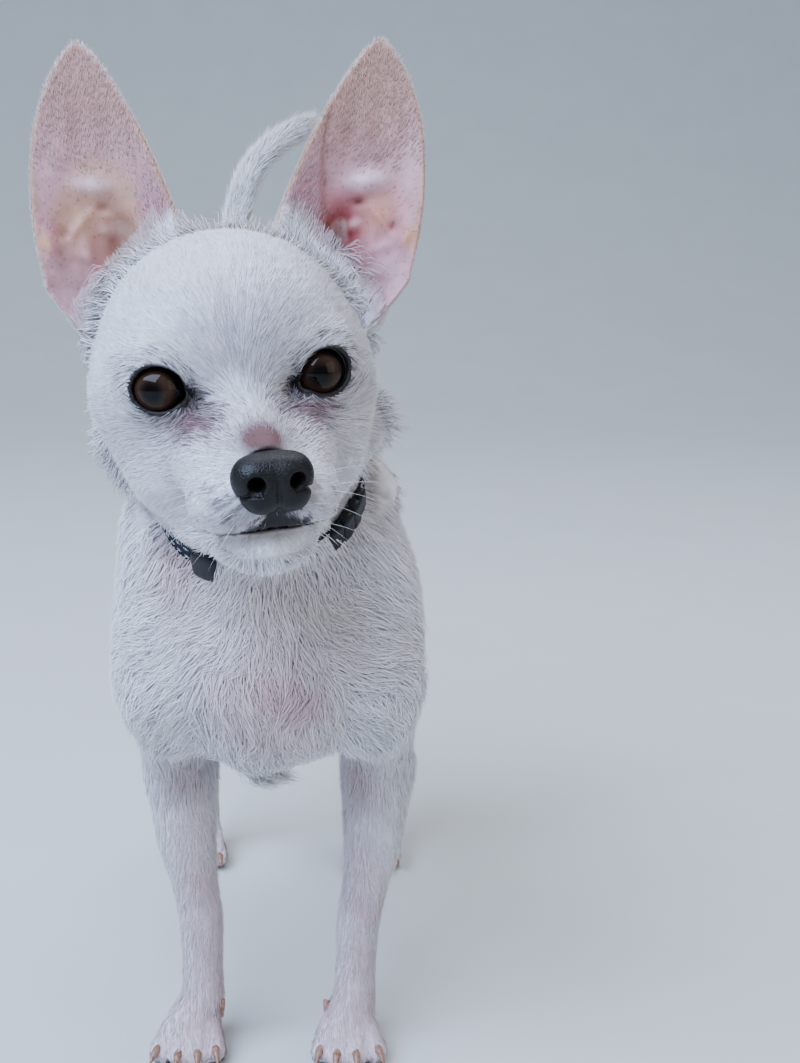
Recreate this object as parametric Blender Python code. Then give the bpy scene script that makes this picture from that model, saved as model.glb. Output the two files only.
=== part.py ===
"""A standing chihuahua, life size, as a still museum model.

The animal is worked out as one smooth solid, a distance field blended from named masses of bone and
muscle, and is then parted with thin cuts into the parts that a person would name. Distances in the fields
are in millimetres, and the finished meshes are in metres. +X is the dog's left, -Y the way it faces, +Z up,
and the floor is z = 0.
"""

import math

import bmesh
import bpy
import numpy as np
from mathutils import Matrix, Vector

MM = 0.001
GRID = 1.15  # spacing of the fine field samples, mm
COARSE = 6  # fine steps in one coarse step
GAP = 0.3  # clearance between neighbouring parts, mm
BODY_TRIANGLES = 6600

# The frame's origin lies under the middle of the whole model, and the trunk's mid plane is beside it.
ORIGIN_SHIFT = np.array([10.5, 4.2, 0.0])

# Trunk
CHEST_Y = -62.0
CHEST_Z = 170.0
CHEST_HALF_WIDTH = 49.0
CHEST_HALF_HEIGHT = 53.0
SHOULDER_HALF_WIDTH = 57.0
LOIN_Y = 52.0
CROUP_Y = 96.0
BACK_Z = 221.0
NECK_HALF_WIDTH = 36.0
REAR_SHIFT = -10.0  # the croup stands this far to the dog's right of the chest

# Head, in its own frame: x to the dog's left, y back, z up, origin midway between the corneas
EYES_MIDDLE = np.array([-2.6, -129.0, 273.0])
HEAD_YAW = math.radians(12.5)
HEAD_ROLL = math.radians(-4.5)
HEAD_PITCH = math.radians(3.0)
EYE_SPACING = 50.5
EYE_RADIUS = 9.2
EYE_DEPTH = 8.6
LID = 1.9
SKULL_HALF_WIDTH = 44.0
SKULL_TOP = 46.0
NOSE_CENTRE = np.array([0.0, -42.5, -21.5])
NOSE_HALF = np.array([11.8, 8.4, 9.6])

# Ears: base points on the skull in the body's frame, before the origin's shift
EAR_LENGTH = 81.0
EAR_HALF_WIDTH = 26.5
EAR_CUP = 12.5
EAR_THICKNESS = 2.7
EAR_LEAN = math.radians(13.6)
EAR_BASE = {"right": np.array([-44.0, -84.0, 302.0]), "left": np.array([21.0, -72.0, 304.0])}

# Legs
LEG_X = 38.0
ELBOW_Z = 110.0
CARPUS_Z = 50.0
HOCK_Z = 62.0
PAW_HALF_WIDTH = 12.0
TOE_RADIUS = 5.4
PAD_Z = 4.5
CLAW_LENGTH = 8.0
FRONT_PAW_SHIFT = {-1: -6.0, 1: -2.0}
PASTERN_SHIFT = {-1: -1.5, 1: 0.0}

# Tail, as a curve through named places
TAIL_RADIUS_BASE = 9.0
TAIL_RADIUS_TIP = 4.6

# Collar, worn in a waist of the neck
NECK_WAIST = (34.5, 47.0)
WAIST_FLAT = 6.0
WAIST_FLARE = 1.6
COLLAR_MIDDLE = np.array([-2.0, -77.0, 232.5])
COLLAR_TILT = math.radians(37.0)
COLLAR_WIDTH = 10.0
COLLAR_THICKNESS = 2.2

COAT = (0.80, 0.80, 0.83)
EAR_COAT = (0.70, 0.52, 0.47)
LEATHER_BLACK = (0.035, 0.030, 0.032)
EYE_BROWN = (0.05, 0.025, 0.015)
WEBBING_NAVY = (0.02, 0.025, 0.035)


def ellipsoid(p, centre, radii):
    """Distance to an ellipsoid, close to exact near its surface."""
    q = p - np.asarray(centre, dtype=float)
    k0 = np.linalg.norm(q / radii, axis=1)
    k1 = np.linalg.norm(q / np.square(radii), axis=1)
    return k0 * (k0 - 1.0) / np.maximum(k1, 1e-6)


def tapered(p, a, b, ra, rb):
    """Distance to a rod from a to b whose radius runs from ra to rb."""
    a = np.asarray(a, dtype=float)
    ab = np.asarray(b, dtype=float) - a
    t = np.clip((p - a) @ ab / (ab @ ab), 0.0, 1.0)
    return np.linalg.norm(p - a - t[:, None] * ab, axis=1) - (ra + (rb - ra) * t)


def join(a, b, k):
    """Smooth union, with a fillet of about k."""
    h = np.clip(0.5 + 0.5 * (b - a) / k, 0.0, 1.0)
    return b + (a - b) * h - k * h * (1.0 - h)


def carve(a, b, k):
    """Smooth removal of b from a."""
    return -join(-a, b, k)


def curve_through(points, steps):
    """A smooth Catmull-Rom line through a few points."""
    pts = np.asarray(points, dtype=float)
    pts = np.vstack([2 * pts[0] - pts[1], pts, 2 * pts[-1] - pts[-2]])
    line = []
    for i in range(1, len(pts) - 2):
        p0, p1, p2, p3 = pts[i - 1 : i + 3]
        for t in np.arange(steps) / steps:
            line.append(
                0.5 * (2 * p1 + (p2 - p0) * t + (2 * p0 - 5 * p1 + 4 * p2 - p3) * t**2
                       + (3 * p1 - p0 - 3 * p2 + p3) * t**3)
            )
    line.append(pts[-2])
    return np.array(line)


def limb(p, places, steps=4):
    """Distance to a rounded limb whose places are x, y, z and radius."""
    line = curve_through(places, steps)
    d = np.full(len(p), 1e3)
    for one, two in zip(line[:-1], line[1:]):
        d = np.minimum(d, tapered(p, one[:3], two[:3], one[3], two[3]))
    return d


def head_turn():
    """The head's rotation: columns are the head's x, y and z in the body's frame."""
    turn = Matrix.Rotation(HEAD_YAW, 3, "Z") @ Matrix.Rotation(HEAD_ROLL, 3, "Y")
    turn = turn @ Matrix.Rotation(HEAD_PITCH, 3, "X")
    return np.array(turn)


HEAD_TURN = head_turn()


def in_head(p):
    return (p - EYES_MIDDLE) @ HEAD_TURN


def from_head(q):
    return np.asarray(q, dtype=float) @ HEAD_TURN.T + EYES_MIDDLE


def eye_centre(side):
    return np.array([side * EYE_SPACING / 2, EYE_DEPTH, 0.0])


def eye_axis(side):
    axis = np.array([side * 0.26, -0.96, 0.05])
    return axis / np.linalg.norm(axis)


def skull_field(q):
    """Cranium, cheeks, jaws and muzzle in the head's frame."""
    d = ellipsoid(q, (0, 37, 6), (SKULL_HALF_WIDTH, 40, SKULL_TOP - 6))
    d = join(d, ellipsoid(q, (0, 15, 9), (35, 21, 27)), 8)
    d = join(d, ellipsoid(q, (0, 45, -16), (38, 34, 34)), 10)
    for side in (-1, 1):
        d = join(d, ellipsoid(q, (side * 26, 30, -8), (23.8, 29, 27)), 10)
        d = join(d, ellipsoid(q, (side * 22.5, 22, -29), (19.5, 26, 19)), 10)
        d = join(d, ellipsoid(q, (side * 24, 9, 9), (12, 9, 8)), 7)
        d = join(d, ellipsoid(q, (side * 14, -3, -20), (13, 20, 13)), 8)
    d = join(d, ellipsoid(q, (0, -12, -26), (22.5, 33, 15.5)), 9)
    d = join(d, tapered(q, (0, 0, -9), (0, -36, -18), 11, 8), 7)
    for side in (-1, 1):
        d = join(d, ellipsoid(q, (side * 11, -27, -30), (13, 17, 10.5)), 5)
    d = join(d, ellipsoid(q, (0, -16, -44), (16.5, 25, 10)), 6)
    return join(d, ellipsoid(q, (0, 14, -44), (26, 30, 15)), 10)


def head_field(p):
    """The head without the ears, with lids round the eyes."""
    q = in_head(p)
    d = skull_field(q)
    for side in (-1, 1):
        centre = eye_centre(side)
        axis = eye_axis(side)
        canthus = centre + np.array([-side * 10.5, -8.0, -2.5])
        d = carve(d, ellipsoid(q, canthus, (4.5, 4, 5)), 6)
        ball = np.linalg.norm(q - centre, axis=1)
        d = join(d, ball - (EYE_RADIUS + LID), 4)
        r = q - centre
        out = r @ axis
        across = np.cross([0.0, 0.0, 1.0], axis)
        across = across / np.linalg.norm(across) * side
        up = np.cross(axis, across * side)
        u = r @ across
        v = r @ up
        opening = np.hypot(u / 8.6, v / 7.0) * 7.6 - 7.6
        opening = np.maximum(opening, -out)
        d = carve(d, opening, 0.8)
        d = np.maximum(d, EYE_RADIUS + GAP - ball)
    return d


def nose_block_field(p):
    """The nose leather's outer form."""
    q = in_head(p)
    d = ellipsoid(q, NOSE_CENTRE, NOSE_HALF)
    for side in (-1, 1):
        d = join(d, ellipsoid(q, NOSE_CENTRE + [side * 5.5, -2.0, -1.5], (6.4, 6.0, 6.8)), 3)
    return np.maximum(d, q[:, 1] - (NOSE_CENTRE[1] + 5.0))


def nose_field(p):
    """The nose leather with its nostrils and the groove between them."""
    q = in_head(p)
    d = nose_block_field(p)
    for side in (-1, 1):
        nostril = tapered(
            q, NOSE_CENTRE + [side * 5.8, -10.5, -0.6], NOSE_CENTRE + [side * 4.0, -3.0, 0.0], 2.5, 1.8
        )
        slit = tapered(
            q, NOSE_CENTRE + [side * 6.5, -9.0, -2.0], NOSE_CENTRE + [side * 11.0, -5.0, -3.6], 1.5, 1.3
        )
        d = carve(d, join(nostril, slit, 1.0), 0.8)
    groove = tapered(q, NOSE_CENTRE + [0, -9.6, -1], NOSE_CENTRE + [0, -6.5, -11], 1.2, 1.2)
    return carve(d, groove, 1.0)


def ear_frame(side):
    """Base point and the ear's axes: up its length, outward, and to the front."""
    name = "left" if side > 0 else "right"
    up = np.array([0.0, math.sin(EAR_LEAN), math.cos(EAR_LEAN)])
    out = np.array([float(side), 0.0, 0.0])
    front = np.array([0.0, -math.cos(EAR_LEAN), math.sin(EAR_LEAN)])
    return EAR_BASE[name], up, out, front


def ear_outline(s):
    """Centre line and half width across the ear at a share s of its length."""
    along = np.clip(s, 0.0, 1.0)
    middle = 3.5 + 15.5 * (1.0 - (1.0 - along) ** 1.5)
    half = EAR_HALF_WIDTH * (1.0 - along**1.9) ** 0.85
    below = np.clip(-s - 0.03, 0.0, 1.0)
    return middle - 60.0 * below**1.3, half * (1.0 - 1.2 * below)


def ear_field(p, side):
    """One cupped sheet, its hollow facing the front, on a thick root."""
    base, up, out, front = ear_frame(side)
    q = p - base
    a, b, c = q @ up, q @ out, q @ front
    s = a / EAR_LENGTH
    middle, half = ear_outline(s)
    half = np.maximum(half, 0.6)
    across = (b - middle) / half
    reach = np.clip(across, -1.15, 1.15)
    cup = 1.0 + EAR_CUP * np.clip(1.0 - s, 0.0, 1.2) ** 1.4
    sheet = -cup * (1.0 - reach**2)
    slope = 2.0 * cup * reach / half
    thick = EAR_THICKNESS * (1.0 + 0.5 * np.clip(0.4 - s, 0.0, 0.6))
    d = np.abs(c - sheet) / np.sqrt(1.0 + slope**2) - thick / 2
    edge = (np.abs(b - middle) - half) * 0.85
    edge = np.maximum(edge, np.maximum(a - EAR_LENGTH, -22.0 - a))
    d = -join(-d, -edge, 1.2)
    root = base + 4.0 * out + 0.0 * up - 13.0 * front
    return join(d, ellipsoid((p - root) @ np.stack([out, front, up], 1), (0, 0, 0), (19, 11, 27)), 9)


def concha_field(p, side):
    """The deep hollow at the root of an ear."""
    base, up, out, front = ear_frame(side)
    q = (p - base) @ np.stack([out, front, up], 1)
    return ellipsoid(q, (5, -6, 4), (11, 10, 15))


def collar_axes():
    """Forward-down along the collar's plane, and up out of it."""
    along = np.array([0.0, math.cos(COLLAR_TILT), math.sin(COLLAR_TILT)])
    normal = np.array([0.0, -math.sin(COLLAR_TILT), math.cos(COLLAR_TILT)])
    return along, normal


def waist_field(p):
    """Distance outside the neck's waist at the collar, which flares above and below it."""
    along, normal = collar_axes()
    q = p - COLLAR_MIDDLE
    wide, deep = NECK_WAIST
    u, v = q[:, 0], q @ along
    k0 = np.hypot(u / wide, v / deep)
    k1 = np.hypot(u / wide**2, v / deep**2)
    flare = WAIST_FLARE * np.maximum(np.abs(q @ normal) - WAIST_FLAT, 0.0)
    return k0 * (k0 - 1.0) / np.maximum(k1, 1e-6) - flare


def rear_middle(y):
    """How far the trunk's mid line has moved aside at y."""
    share = np.clip((y + 20.0) / 110.0, 0.0, 1.0)
    return REAR_SHIFT * share * share * (3.0 - 2.0 * share)


def trunk_field(p):
    """Chest, back, loin, croup and neck."""
    d = ellipsoid(p, (0, CHEST_Y, CHEST_Z), (CHEST_HALF_WIDTH, 51, CHEST_HALF_HEIGHT))
    neck_top = from_head((0, 40, -14))
    d = join(d, ellipsoid(p, (-3, -62, 196), (52, 34, 34)), 10)
    d = join(d, tapered(p, (-3, -56, 188), neck_top, 45, NECK_HALF_WIDTH), 14)
    d = join(d, ellipsoid(p, (-7, -68, 247), (52.5, 27, 28)), 10)
    d = join(d, ellipsoid(p, (-9, -62, 212), (47.5, 30, 28)), 8)
    for side in (-1, 1):
        width = SHOULDER_HALF_WIDTH - 36 + (1.5 if side < 0 else 0.0)
        d = join(d, ellipsoid(p, (side * 36, -70, 174), (width, 30, 46)), 10)
        d = join(d, tapered(p, (side * 37, -84, 158), (side * (LEG_X + 1), -48, ELBOW_Z + 2), 18, 14), 9)
    d = join(d, ellipsoid(p, (-2, -76, 134), (17, 24, 16)), 9)
    q = p.copy()
    q[:, 0] -= rear_middle(p[:, 1])
    d = join(d, ellipsoid(q, (0, -8, 176), (46, 66, 47)), 14)
    d = join(d, ellipsoid(q, (0, LOIN_Y, BACK_Z - 36), (39, 60, 36)), 16)
    d = join(d, ellipsoid(q, (0, CROUP_Y, BACK_Z - 40), (39, 37, 38)), 14)
    return carve(d, -waist_field(p), 5)


def foreleg_field(p, side):
    """From the elbow down to the toes."""
    x = side * LEG_X
    wrist = side * (LEG_X - 7.5) + PASTERN_SHIFT[side] / 2
    pastern = side * (LEG_X - 9.0) + PASTERN_SHIFT[side]
    places = [(x, -50, ELBOW_Z, 14.5), (side * (LEG_X - 1.5), -53, 84, 12.2)]
    places += [(side * (LEG_X - 4.5), -56, 66, 9.6), (wrist, -57.5, CARPUS_Z, 9.2)]
    places += [(pastern + side * 0.5, -59.5, 34, 8.7), (pastern, -62.5, 20, 9.0)]
    d = limb(p, places)
    d = join(d, ellipsoid(p, (side * (LEG_X - 9.0), -50.5, CARPUS_Z - 3), (4.5, 4, 6)), 4)
    return join(d, paw_field(p, paw_place(side, True), side), 5)


def paw_place(side, front):
    """The middle of a paw on the floor."""
    if front:
        return np.array([side * (LEG_X - 9.5) + FRONT_PAW_SHIFT[side], -62.0])
    return np.array([REAR_SHIFT + side * 42.0, 110.0])


def toe_places(place, side):
    """Knuckle and tip of the four toes of a paw, the outer ones last."""
    x, y = place
    places = []
    for spread in (-1.0, -0.36, 0.36, 1.0):
        middle = 1.0 - abs(spread)
        knuckle = np.array([x + side * spread * 6.6, y - 7.0 - 3.0 * middle, 12.0])
        splay = 1.5 if spread == 1.0 else 0.0
        tip = np.array([x + side * (spread * (PAW_HALF_WIDTH - 2.6) + splay), y - 15.5 - 4.5 * middle, 5.0])
        places.append((knuckle, tip))
    return places


def paw_field(p, place, side):
    """Instep, four toes and the main pad."""
    x, y = place
    d = ellipsoid(p, (x, y - 3.0, 11.0), (11.0, 12.0, 10.5))
    for knuckle, tip in toe_places(place, side):
        d = join(d, tapered(p, knuckle, tip, TOE_RADIUS, TOE_RADIUS + 0.2), 1.8)
    return join(d, ellipsoid(p, (x, y - 1.0, PAD_Z), (9.5, 9.0, PAD_Z + 1.0)), 3)


def hindleg_field(p, side):
    """Thigh, shank, hock and foot."""
    x = REAR_SHIFT + side * 32.0
    foot = paw_place(side, False)
    d = ellipsoid(p, (REAR_SHIFT + side * 28, 92, 156), (19, 36, 44))
    places = [(x, 82, 142, 24), (x + side * 2, 78, 124, 19.5), (x + side * 5, 92, 97, 13.5)]
    places += [(x + side * 8, 112, 74, 9.2), (x + side * 9, 121, HOCK_Z - 3, 8.4)]
    places += [(x + side * 9.5, 119, 38, 7.8), (foot[0], foot[1] + 5, 20, 8.6)]
    d = join(d, limb(p, places), 9)
    d = join(d, tapered(p, (x + side * 8, 121, HOCK_Z + 10), (x + side * 9, 126, HOCK_Z), 3.4, 4.8), 7)
    return join(d, paw_field(p, foot, side), 5)


def tail_line():
    places = [(-8, 114, 196), (-14, 136, 214), (-24, 155, 243), (-32, 162, 275), (-33.5, 163, 303)]
    places += [(-28, 163, 329), (-16, 164, 346), (0, 165, 356)]
    return curve_through(places, 5)


def tail_field(p):
    line = tail_line()
    share = np.linspace(0, 1, len(line))[:, None] ** 0.8
    radii = TAIL_RADIUS_BASE + (TAIL_RADIUS_TIP - TAIL_RADIUS_BASE) * share
    return limb(p, np.hstack([line, radii]), 1)


def body_field(p):
    """The whole animal as one solid."""
    d = trunk_field(p)
    for side in (-1, 1):
        d = join(d, foreleg_field(p, side), 7)
        d = join(d, hindleg_field(p, side), 11)
    d = join(d, tail_field(p), 9)
    d = join(d, head_field(p), 9)
    for side in (-1, 1):
        centre = from_head(eye_centre(side))
        d = np.maximum(d, EYE_RADIUS + GAP - np.linalg.norm(p - centre, axis=1))
    for side in (-1, 1):
        d = join(d, ear_field(p, side), 5)
        d = carve(d, concha_field(p, side), 3)
    return d


def sample(field, low, high, step):
    """The field on a fine grid, worked out only near its surface."""
    low = np.asarray(low, dtype=float)
    blocks = np.ceil((np.asarray(high) - low) / (step * COARSE)).astype(int)
    coarse_axes = [low[i] + (np.arange(blocks[i]) + 0.5) * step * COARSE for i in range(3)]
    centres = np.stack(np.meshgrid(*coarse_axes, indexing="ij"), -1).reshape(-1, 3)
    middle = field(centres)
    near = np.abs(middle) < step * COARSE * 1.1
    values = np.repeat(np.repeat(np.repeat(
        np.sign(middle).reshape(blocks) * 50.0, COARSE, 0), COARSE, 1), COARSE, 2).astype(np.float32)
    offsets = np.stack(np.meshgrid(*[np.arange(COARSE)] * 3, indexing="ij"), -1).reshape(-1, 3)
    corner = np.stack(np.unravel_index(np.flatnonzero(near), blocks), 1) * COARSE
    for start in range(0, len(corner), 4000):
        index = (corner[start : start + 4000, None, :] + offsets[None]).reshape(-1, 3)
        values[tuple(index.T)] = field(low + (index + 0.5) * step)
    return values


def one_sheet_codes():
    """For the 256 ways that a cell's corners lie inside or outside: is the surface a single sheet there?"""
    flags = np.zeros(256, dtype=bool)
    for code in range(256):
        groups = 0
        for side in (0, 1):
            left = {c for c in range(8) if (code >> c) & 1 == side}
            while left:
                groups += 1
                stack = [left.pop()]
                while stack:
                    corner = stack.pop()
                    for bit in (1, 2, 4):
                        if corner ^ bit in left:
                            left.discard(corner ^ bit)
                            stack.append(corner ^ bit)
        flags[code] = groups <= 2
    return flags


def without_pinches(values):
    """Fills the few cells in which the surface would touch itself."""
    single = one_sheet_codes()
    while True:
        inside = (values < 0).view(np.uint8)
        code = np.zeros(np.array(values.shape) - 1, dtype=np.uint8)
        for c in range(8):
            i, j, k = c & 1, (c >> 1) & 1, (c >> 2) & 1
            code |= inside[i : i + code.shape[0], j : j + code.shape[1], k : k + code.shape[2]] << c
        bad = ~single[code]
        for one, two in ((0, 1), (0, 2), (1, 2)):
            for base in (0, 7 ^ (1 << one) ^ (1 << two)):
                corners = [base, base ^ (1 << one), base ^ (1 << one) ^ (1 << two), base ^ (1 << two)]
                a, b, c, d = [(code >> corner) & 1 for corner in corners]
                bad |= (a == c) & (b == d) & (a != b)
        cells = np.stack(np.nonzero(bad), 1)
        if len(cells) == 0:
            return values
        for c in range(8):
            corner = tuple((cells + [c & 1, (c >> 1) & 1, (c >> 2) & 1]).T)
            values[corner] = np.minimum(values[corner], -0.2)


def surface_net(values, low, step):
    """One point in each cell that the surface crosses, joined into quads."""
    inside = values < 0
    shape = np.array(values.shape) - 1
    corners = [(i, j, k) for i in (0, 1) for j in (0, 1) for k in (0, 1)]
    view = lambda array, c: array[c[0] : c[0] + shape[0], c[1] : c[1] + shape[1], c[2] : c[2] + shape[2]]
    count = sum(view(inside, c).astype(np.uint8) for c in corners)
    cells = np.stack(np.nonzero((count > 0) & (count < 8)), 1)
    number = np.full(shape, -1, dtype=np.int64)
    number[tuple(cells.T)] = np.arange(len(cells))
    total = np.zeros((len(cells), 3))
    crossings = np.zeros(len(cells))
    for c in corners:
        for axis in range(3):
            if c[axis]:
                continue
            start = cells + c
            end = start.copy()
            end[:, axis] += 1
            va, vb = values[tuple(start.T)], values[tuple(end.T)]
            cross = (va < 0) != (vb < 0)
            t = va[cross] / (va[cross] - vb[cross])
            point = start[cross].astype(float)
            point[:, axis] += t
            total[cross] += point
            crossings[cross] += 1
    points = np.asarray(low) + (total / crossings[:, None] + 0.5) * step
    quads = []
    for axis in range(3):
        one, two = (axis + 1) % 3, (axis + 2) % 3
        start = np.stack(np.nonzero(np.take(inside, range(shape[axis]), axis)
                                    != np.take(inside, range(1, shape[axis] + 1), axis)), 1)
        keep = np.all(start[:, [one, two]] > 0, axis=1) & np.all(start[:, [one, two]] < shape[[one, two]], axis=1)
        start = start[keep]
        ring = []
        for d_one, d_two in ((1, 1), (0, 1), (0, 0), (1, 0)):
            cell = start.copy()
            cell[:, one] -= d_one
            cell[:, two] -= d_two
            ring.append(number[tuple(cell.T)])
        ring = np.stack(ring, 1)
        flip = ~inside[tuple(start.T)]
        ring[flip] = ring[flip][:, ::-1]
        quads.append(ring)
    return points, np.concatenate(quads)


def mesh_of(field, low, high, step):
    values = without_pinches(sample(field, low, high, step))
    points, quads = surface_net(values, low, step)
    mesh = bpy.data.meshes.new("field")
    mesh.from_pydata(((points + ORIGIN_SHIFT) * MM).tolist(), [], quads.tolist())
    return mesh


def add_object(name, mesh):
    item = bpy.data.objects.new(name, mesh)
    bpy.context.scene.collection.objects.link(item)
    return item


def baked(item):
    """Applies an object's modifiers to its own mesh."""
    graph = bpy.context.evaluated_depsgraph_get()
    mesh = bpy.data.meshes.new_from_object(item.evaluated_get(graph))
    item.modifiers.clear()
    item.data = mesh
    return item


def thinned(item, triangles):
    """The same surface with fewer faces."""
    mesh = item.data
    reduce = item.modifiers.new("fewer faces", "DECIMATE")
    reduce.use_collapse_triangulate = True
    reduce.ratio = triangles / (2 * len(mesh.polygons))
    return baked(item)


def largest_body(item):
    """Keeps only the largest closed surface of a mesh."""
    bm = bmesh.new()
    bm.from_mesh(item.data)
    left = set(bm.faces)
    groups = []
    while left:
        stack = [left.pop()]
        group = list(stack)
        while stack:
            face = stack.pop()
            for edge in face.edges:
                for other in edge.link_faces:
                    if other in left:
                        left.discard(other)
                        stack.append(other)
                        group.append(other)
        groups.append(group)
    groups.sort(key=len)
    loose = [face for group in groups[:-1] for face in group]
    bmesh.ops.delete(bm, geom=loose, context="FACES")
    bm.to_mesh(item.data)
    bm.free()


def boolean(item, cutter, operation):
    cut = item.modifiers.new(operation.lower(), "BOOLEAN")
    cut.operation = operation
    cut.solver = "MANIFOLD"
    cut.object = cutter
    return baked(item)


def remove(item):
    bpy.data.objects.remove(item)


def prism(outline, half_width, frame, grow):
    """A block with the given outline in the frame's y-z plane, grown outwards by a margin in mm."""
    pts = np.asarray(outline, dtype=float)
    area = 0.5 * np.sum(pts[:, 0] * np.roll(pts[:, 1], -1) - np.roll(pts[:, 0], -1) * pts[:, 1])
    edge = np.roll(pts, -1, 0) - pts
    normal = np.stack([edge[:, 1], -edge[:, 0]], 1) * np.sign(area)
    normal /= np.linalg.norm(normal, axis=1)[:, None]
    before = np.roll(normal, 1, 0)
    bisector = (normal + before) / (1 + np.sum(normal * before, 1))[:, None]
    pts = pts + bisector * grow
    near_x, far_x = half_width
    bm = bmesh.new()
    rows = []
    for x in (near_x - grow, far_x + grow):
        rows.append([bm.verts.new(Vector((frame(np.array([x, y, z])) + ORIGIN_SHIFT) * MM)) for y, z in pts])
    bm.faces.new(rows[0])
    bm.faces.new(rows[1][::-1])
    for i in range(len(pts)):
        j = (i + 1) % len(pts)
        bm.faces.new((rows[0][i], rows[1][i], rows[1][j], rows[0][j]))
    bmesh.ops.recalc_face_normals(bm, faces=bm.faces)
    bmesh.ops.triangulate(bm, faces=bm.faces)
    mesh = bpy.data.meshes.new("block")
    bm.to_mesh(mesh)
    bm.free()
    return add_object("block", mesh)


def part_off(whole, name, outline, x_range, frame):
    """Cuts a named piece out of the whole with a thin gap all round the block."""
    inner = prism(outline, x_range, frame, -GAP / 2)
    outer = prism(outline, x_range, frame, GAP / 2)
    piece = add_object(name, whole.data.copy())
    boolean(piece, inner, "INTERSECT")
    boolean(whole, outer, "DIFFERENCE")
    remove(inner)
    remove(outer)
    largest_body(piece)
    return piece


def paint(item, name, colour, roughness, metallic=0.0):
    material = bpy.data.materials.new(name)
    material.use_nodes = True
    shader = material.node_tree.nodes["Principled BSDF"]
    shader.inputs["Base Color"].default_value = (*colour, 1.0)
    shader.inputs["Roughness"].default_value = roughness
    shader.inputs["Metallic"].default_value = metallic
    item.data.materials.clear()
    item.data.materials.append(material)
    item.data.shade_smooth()
    item.data.set_sharp_from_angle(angle=math.radians(35))


def body_frame(q):
    return q


def ear_cut_frame(side):
    """Takes front, out and up from an ear's base to the body's frame."""
    base, up, out, front = ear_frame(side)
    return lambda q: base + front * q[0] + out * q[1] + up * q[2]


def ball(name, centre, radius):
    bm = bmesh.new()
    place = Matrix.Translation(Vector((centre + ORIGIN_SHIFT) * MM))
    bmesh.ops.create_uvsphere(bm, u_segments=18, v_segments=10, radius=radius * MM, matrix=place)
    bmesh.ops.triangulate(bm, faces=bm.faces)
    mesh = bpy.data.meshes.new(name)
    bm.to_mesh(mesh)
    bm.free()
    return add_object(name, mesh)


def tube(name, places, sides, cap_radius=0.2):
    """A closed tapering tube through x, y, z and radius places."""
    places = np.asarray(places, dtype=float)
    bm = bmesh.new()
    rings = []
    for i, place in enumerate(places):
        along = places[min(i + 1, len(places) - 1), :3] - places[max(i - 1, 0), :3]
        along = Vector(along).normalized()
        one = along.orthogonal().normalized() if i == 0 else (one - along * one.dot(along)).normalized()
        two = along.cross(one)
        middle = Vector((place[:3] + ORIGIN_SHIFT) * MM)
        ring = []
        for j in range(sides):
            angle = 2 * math.pi * j / sides
            ring.append(bm.verts.new(middle + (one * math.cos(angle) + two * math.sin(angle)) * place[3] * MM))
        rings.append(ring)
    for lower, upper in zip(rings[:-1], rings[1:]):
        for j in range(sides):
            k = (j + 1) % sides
            bm.faces.new((lower[j], lower[k], upper[k], upper[j]))
    bm.faces.new(rings[0][::-1])
    bm.faces.new(rings[-1])
    bmesh.ops.triangulate(bm, faces=bm.faces)
    mesh = bpy.data.meshes.new(name)
    bm.to_mesh(mesh)
    bm.free()
    return add_object(name, mesh)


def sink_claw(paw, start, out, length, radius):
    """Joins one hooked claw to a paw, growing from start along out and curling to the floor."""
    shares = ((0.05, 1.0, 0.0), (0.55, 0.85, 0.0), (0.85, 0.6, 0.09), (1.0, 0.25, 0.33))
    places = []
    for share, width, drop in shares:
        point = start + out * length * share
        places.append((point[0], point[1], point[2] - length * drop, radius * width))
    cone = tube("claw", places, 5)
    boolean(paw, cone, "UNION")
    remove(cone)


def add_claws(paw, side, front):
    """A claw at the end of each toe, and a dewclaw on the inner side of a fore paw."""
    place = paw_place(side, front)
    for knuckle, tip in toe_places(place, side):
        out = np.array([(tip[0] - knuckle[0]) * 0.6, -6.0, 0.0])
        sink_claw(paw, tip + [0, 0, 2.0], out / np.linalg.norm(out), CLAW_LENGTH * 1.1, 2.0)
    if front:
        pastern = LEG_X - 9.0 + side * PASTERN_SHIFT[side]
        inner = side * min(pastern - 8.0, side * place[0] - 9.0)
        out = np.array([-side * 0.42, -0.5, -0.75])
        sink_claw(paw, np.array([inner, -64.5, 19.5]), out / np.linalg.norm(out), CLAW_LENGTH, 2.2)


def collar_ring(name, inner_gap, thickness, half_width, segments=40):
    """A band round the neck that follows its surface."""
    along, normal = collar_axes()
    sideways = np.array([1.0, 0.0, 0.0])
    levels = np.linspace(-half_width, half_width, 3)
    angles = np.arange(segments) * 2 * math.pi / segments
    rays = np.cos(angles)[:, None] * sideways + np.sin(angles)[:, None] * along
    reach = np.arange(22.0, 72.0, 0.25)
    bm = bmesh.new()
    loops = []
    for level in levels:
        start = COLLAR_MIDDLE + normal * level
        radius = []
        for ray in rays:
            outside = body_field(start + ray * reach[:, None]) > 0
            radius.append(reach[np.argmax(outside)])
        radius = np.array(radius)
        for _ in range(6):
            radius = (np.roll(radius, 1) + radius * 2 + np.roll(radius, -1)) / 4
        loops.append((start, radius))
    rings = []
    for start, radius in loops:
        rings.append(start + rays * (radius + inner_gap)[:, None])
    for start, radius in loops[::-1]:
        rings.append(start + rays * (radius + inner_gap + thickness)[:, None])
    verts = [[bm.verts.new(Vector((point + ORIGIN_SHIFT) * MM)) for point in ring] for ring in rings]
    for i in range(len(verts)):
        one, two = verts[i], verts[(i + 1) % len(verts)]
        for j in range(segments):
            k = (j + 1) % segments
            bm.faces.new((one[j], two[j], two[k], one[k]))
    bmesh.ops.recalc_face_normals(bm, faces=bm.faces)
    bmesh.ops.triangulate(bm, faces=bm.faces)
    mesh = bpy.data.meshes.new(name)
    bm.to_mesh(mesh)
    bm.free()
    return add_object(name, mesh)


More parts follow.
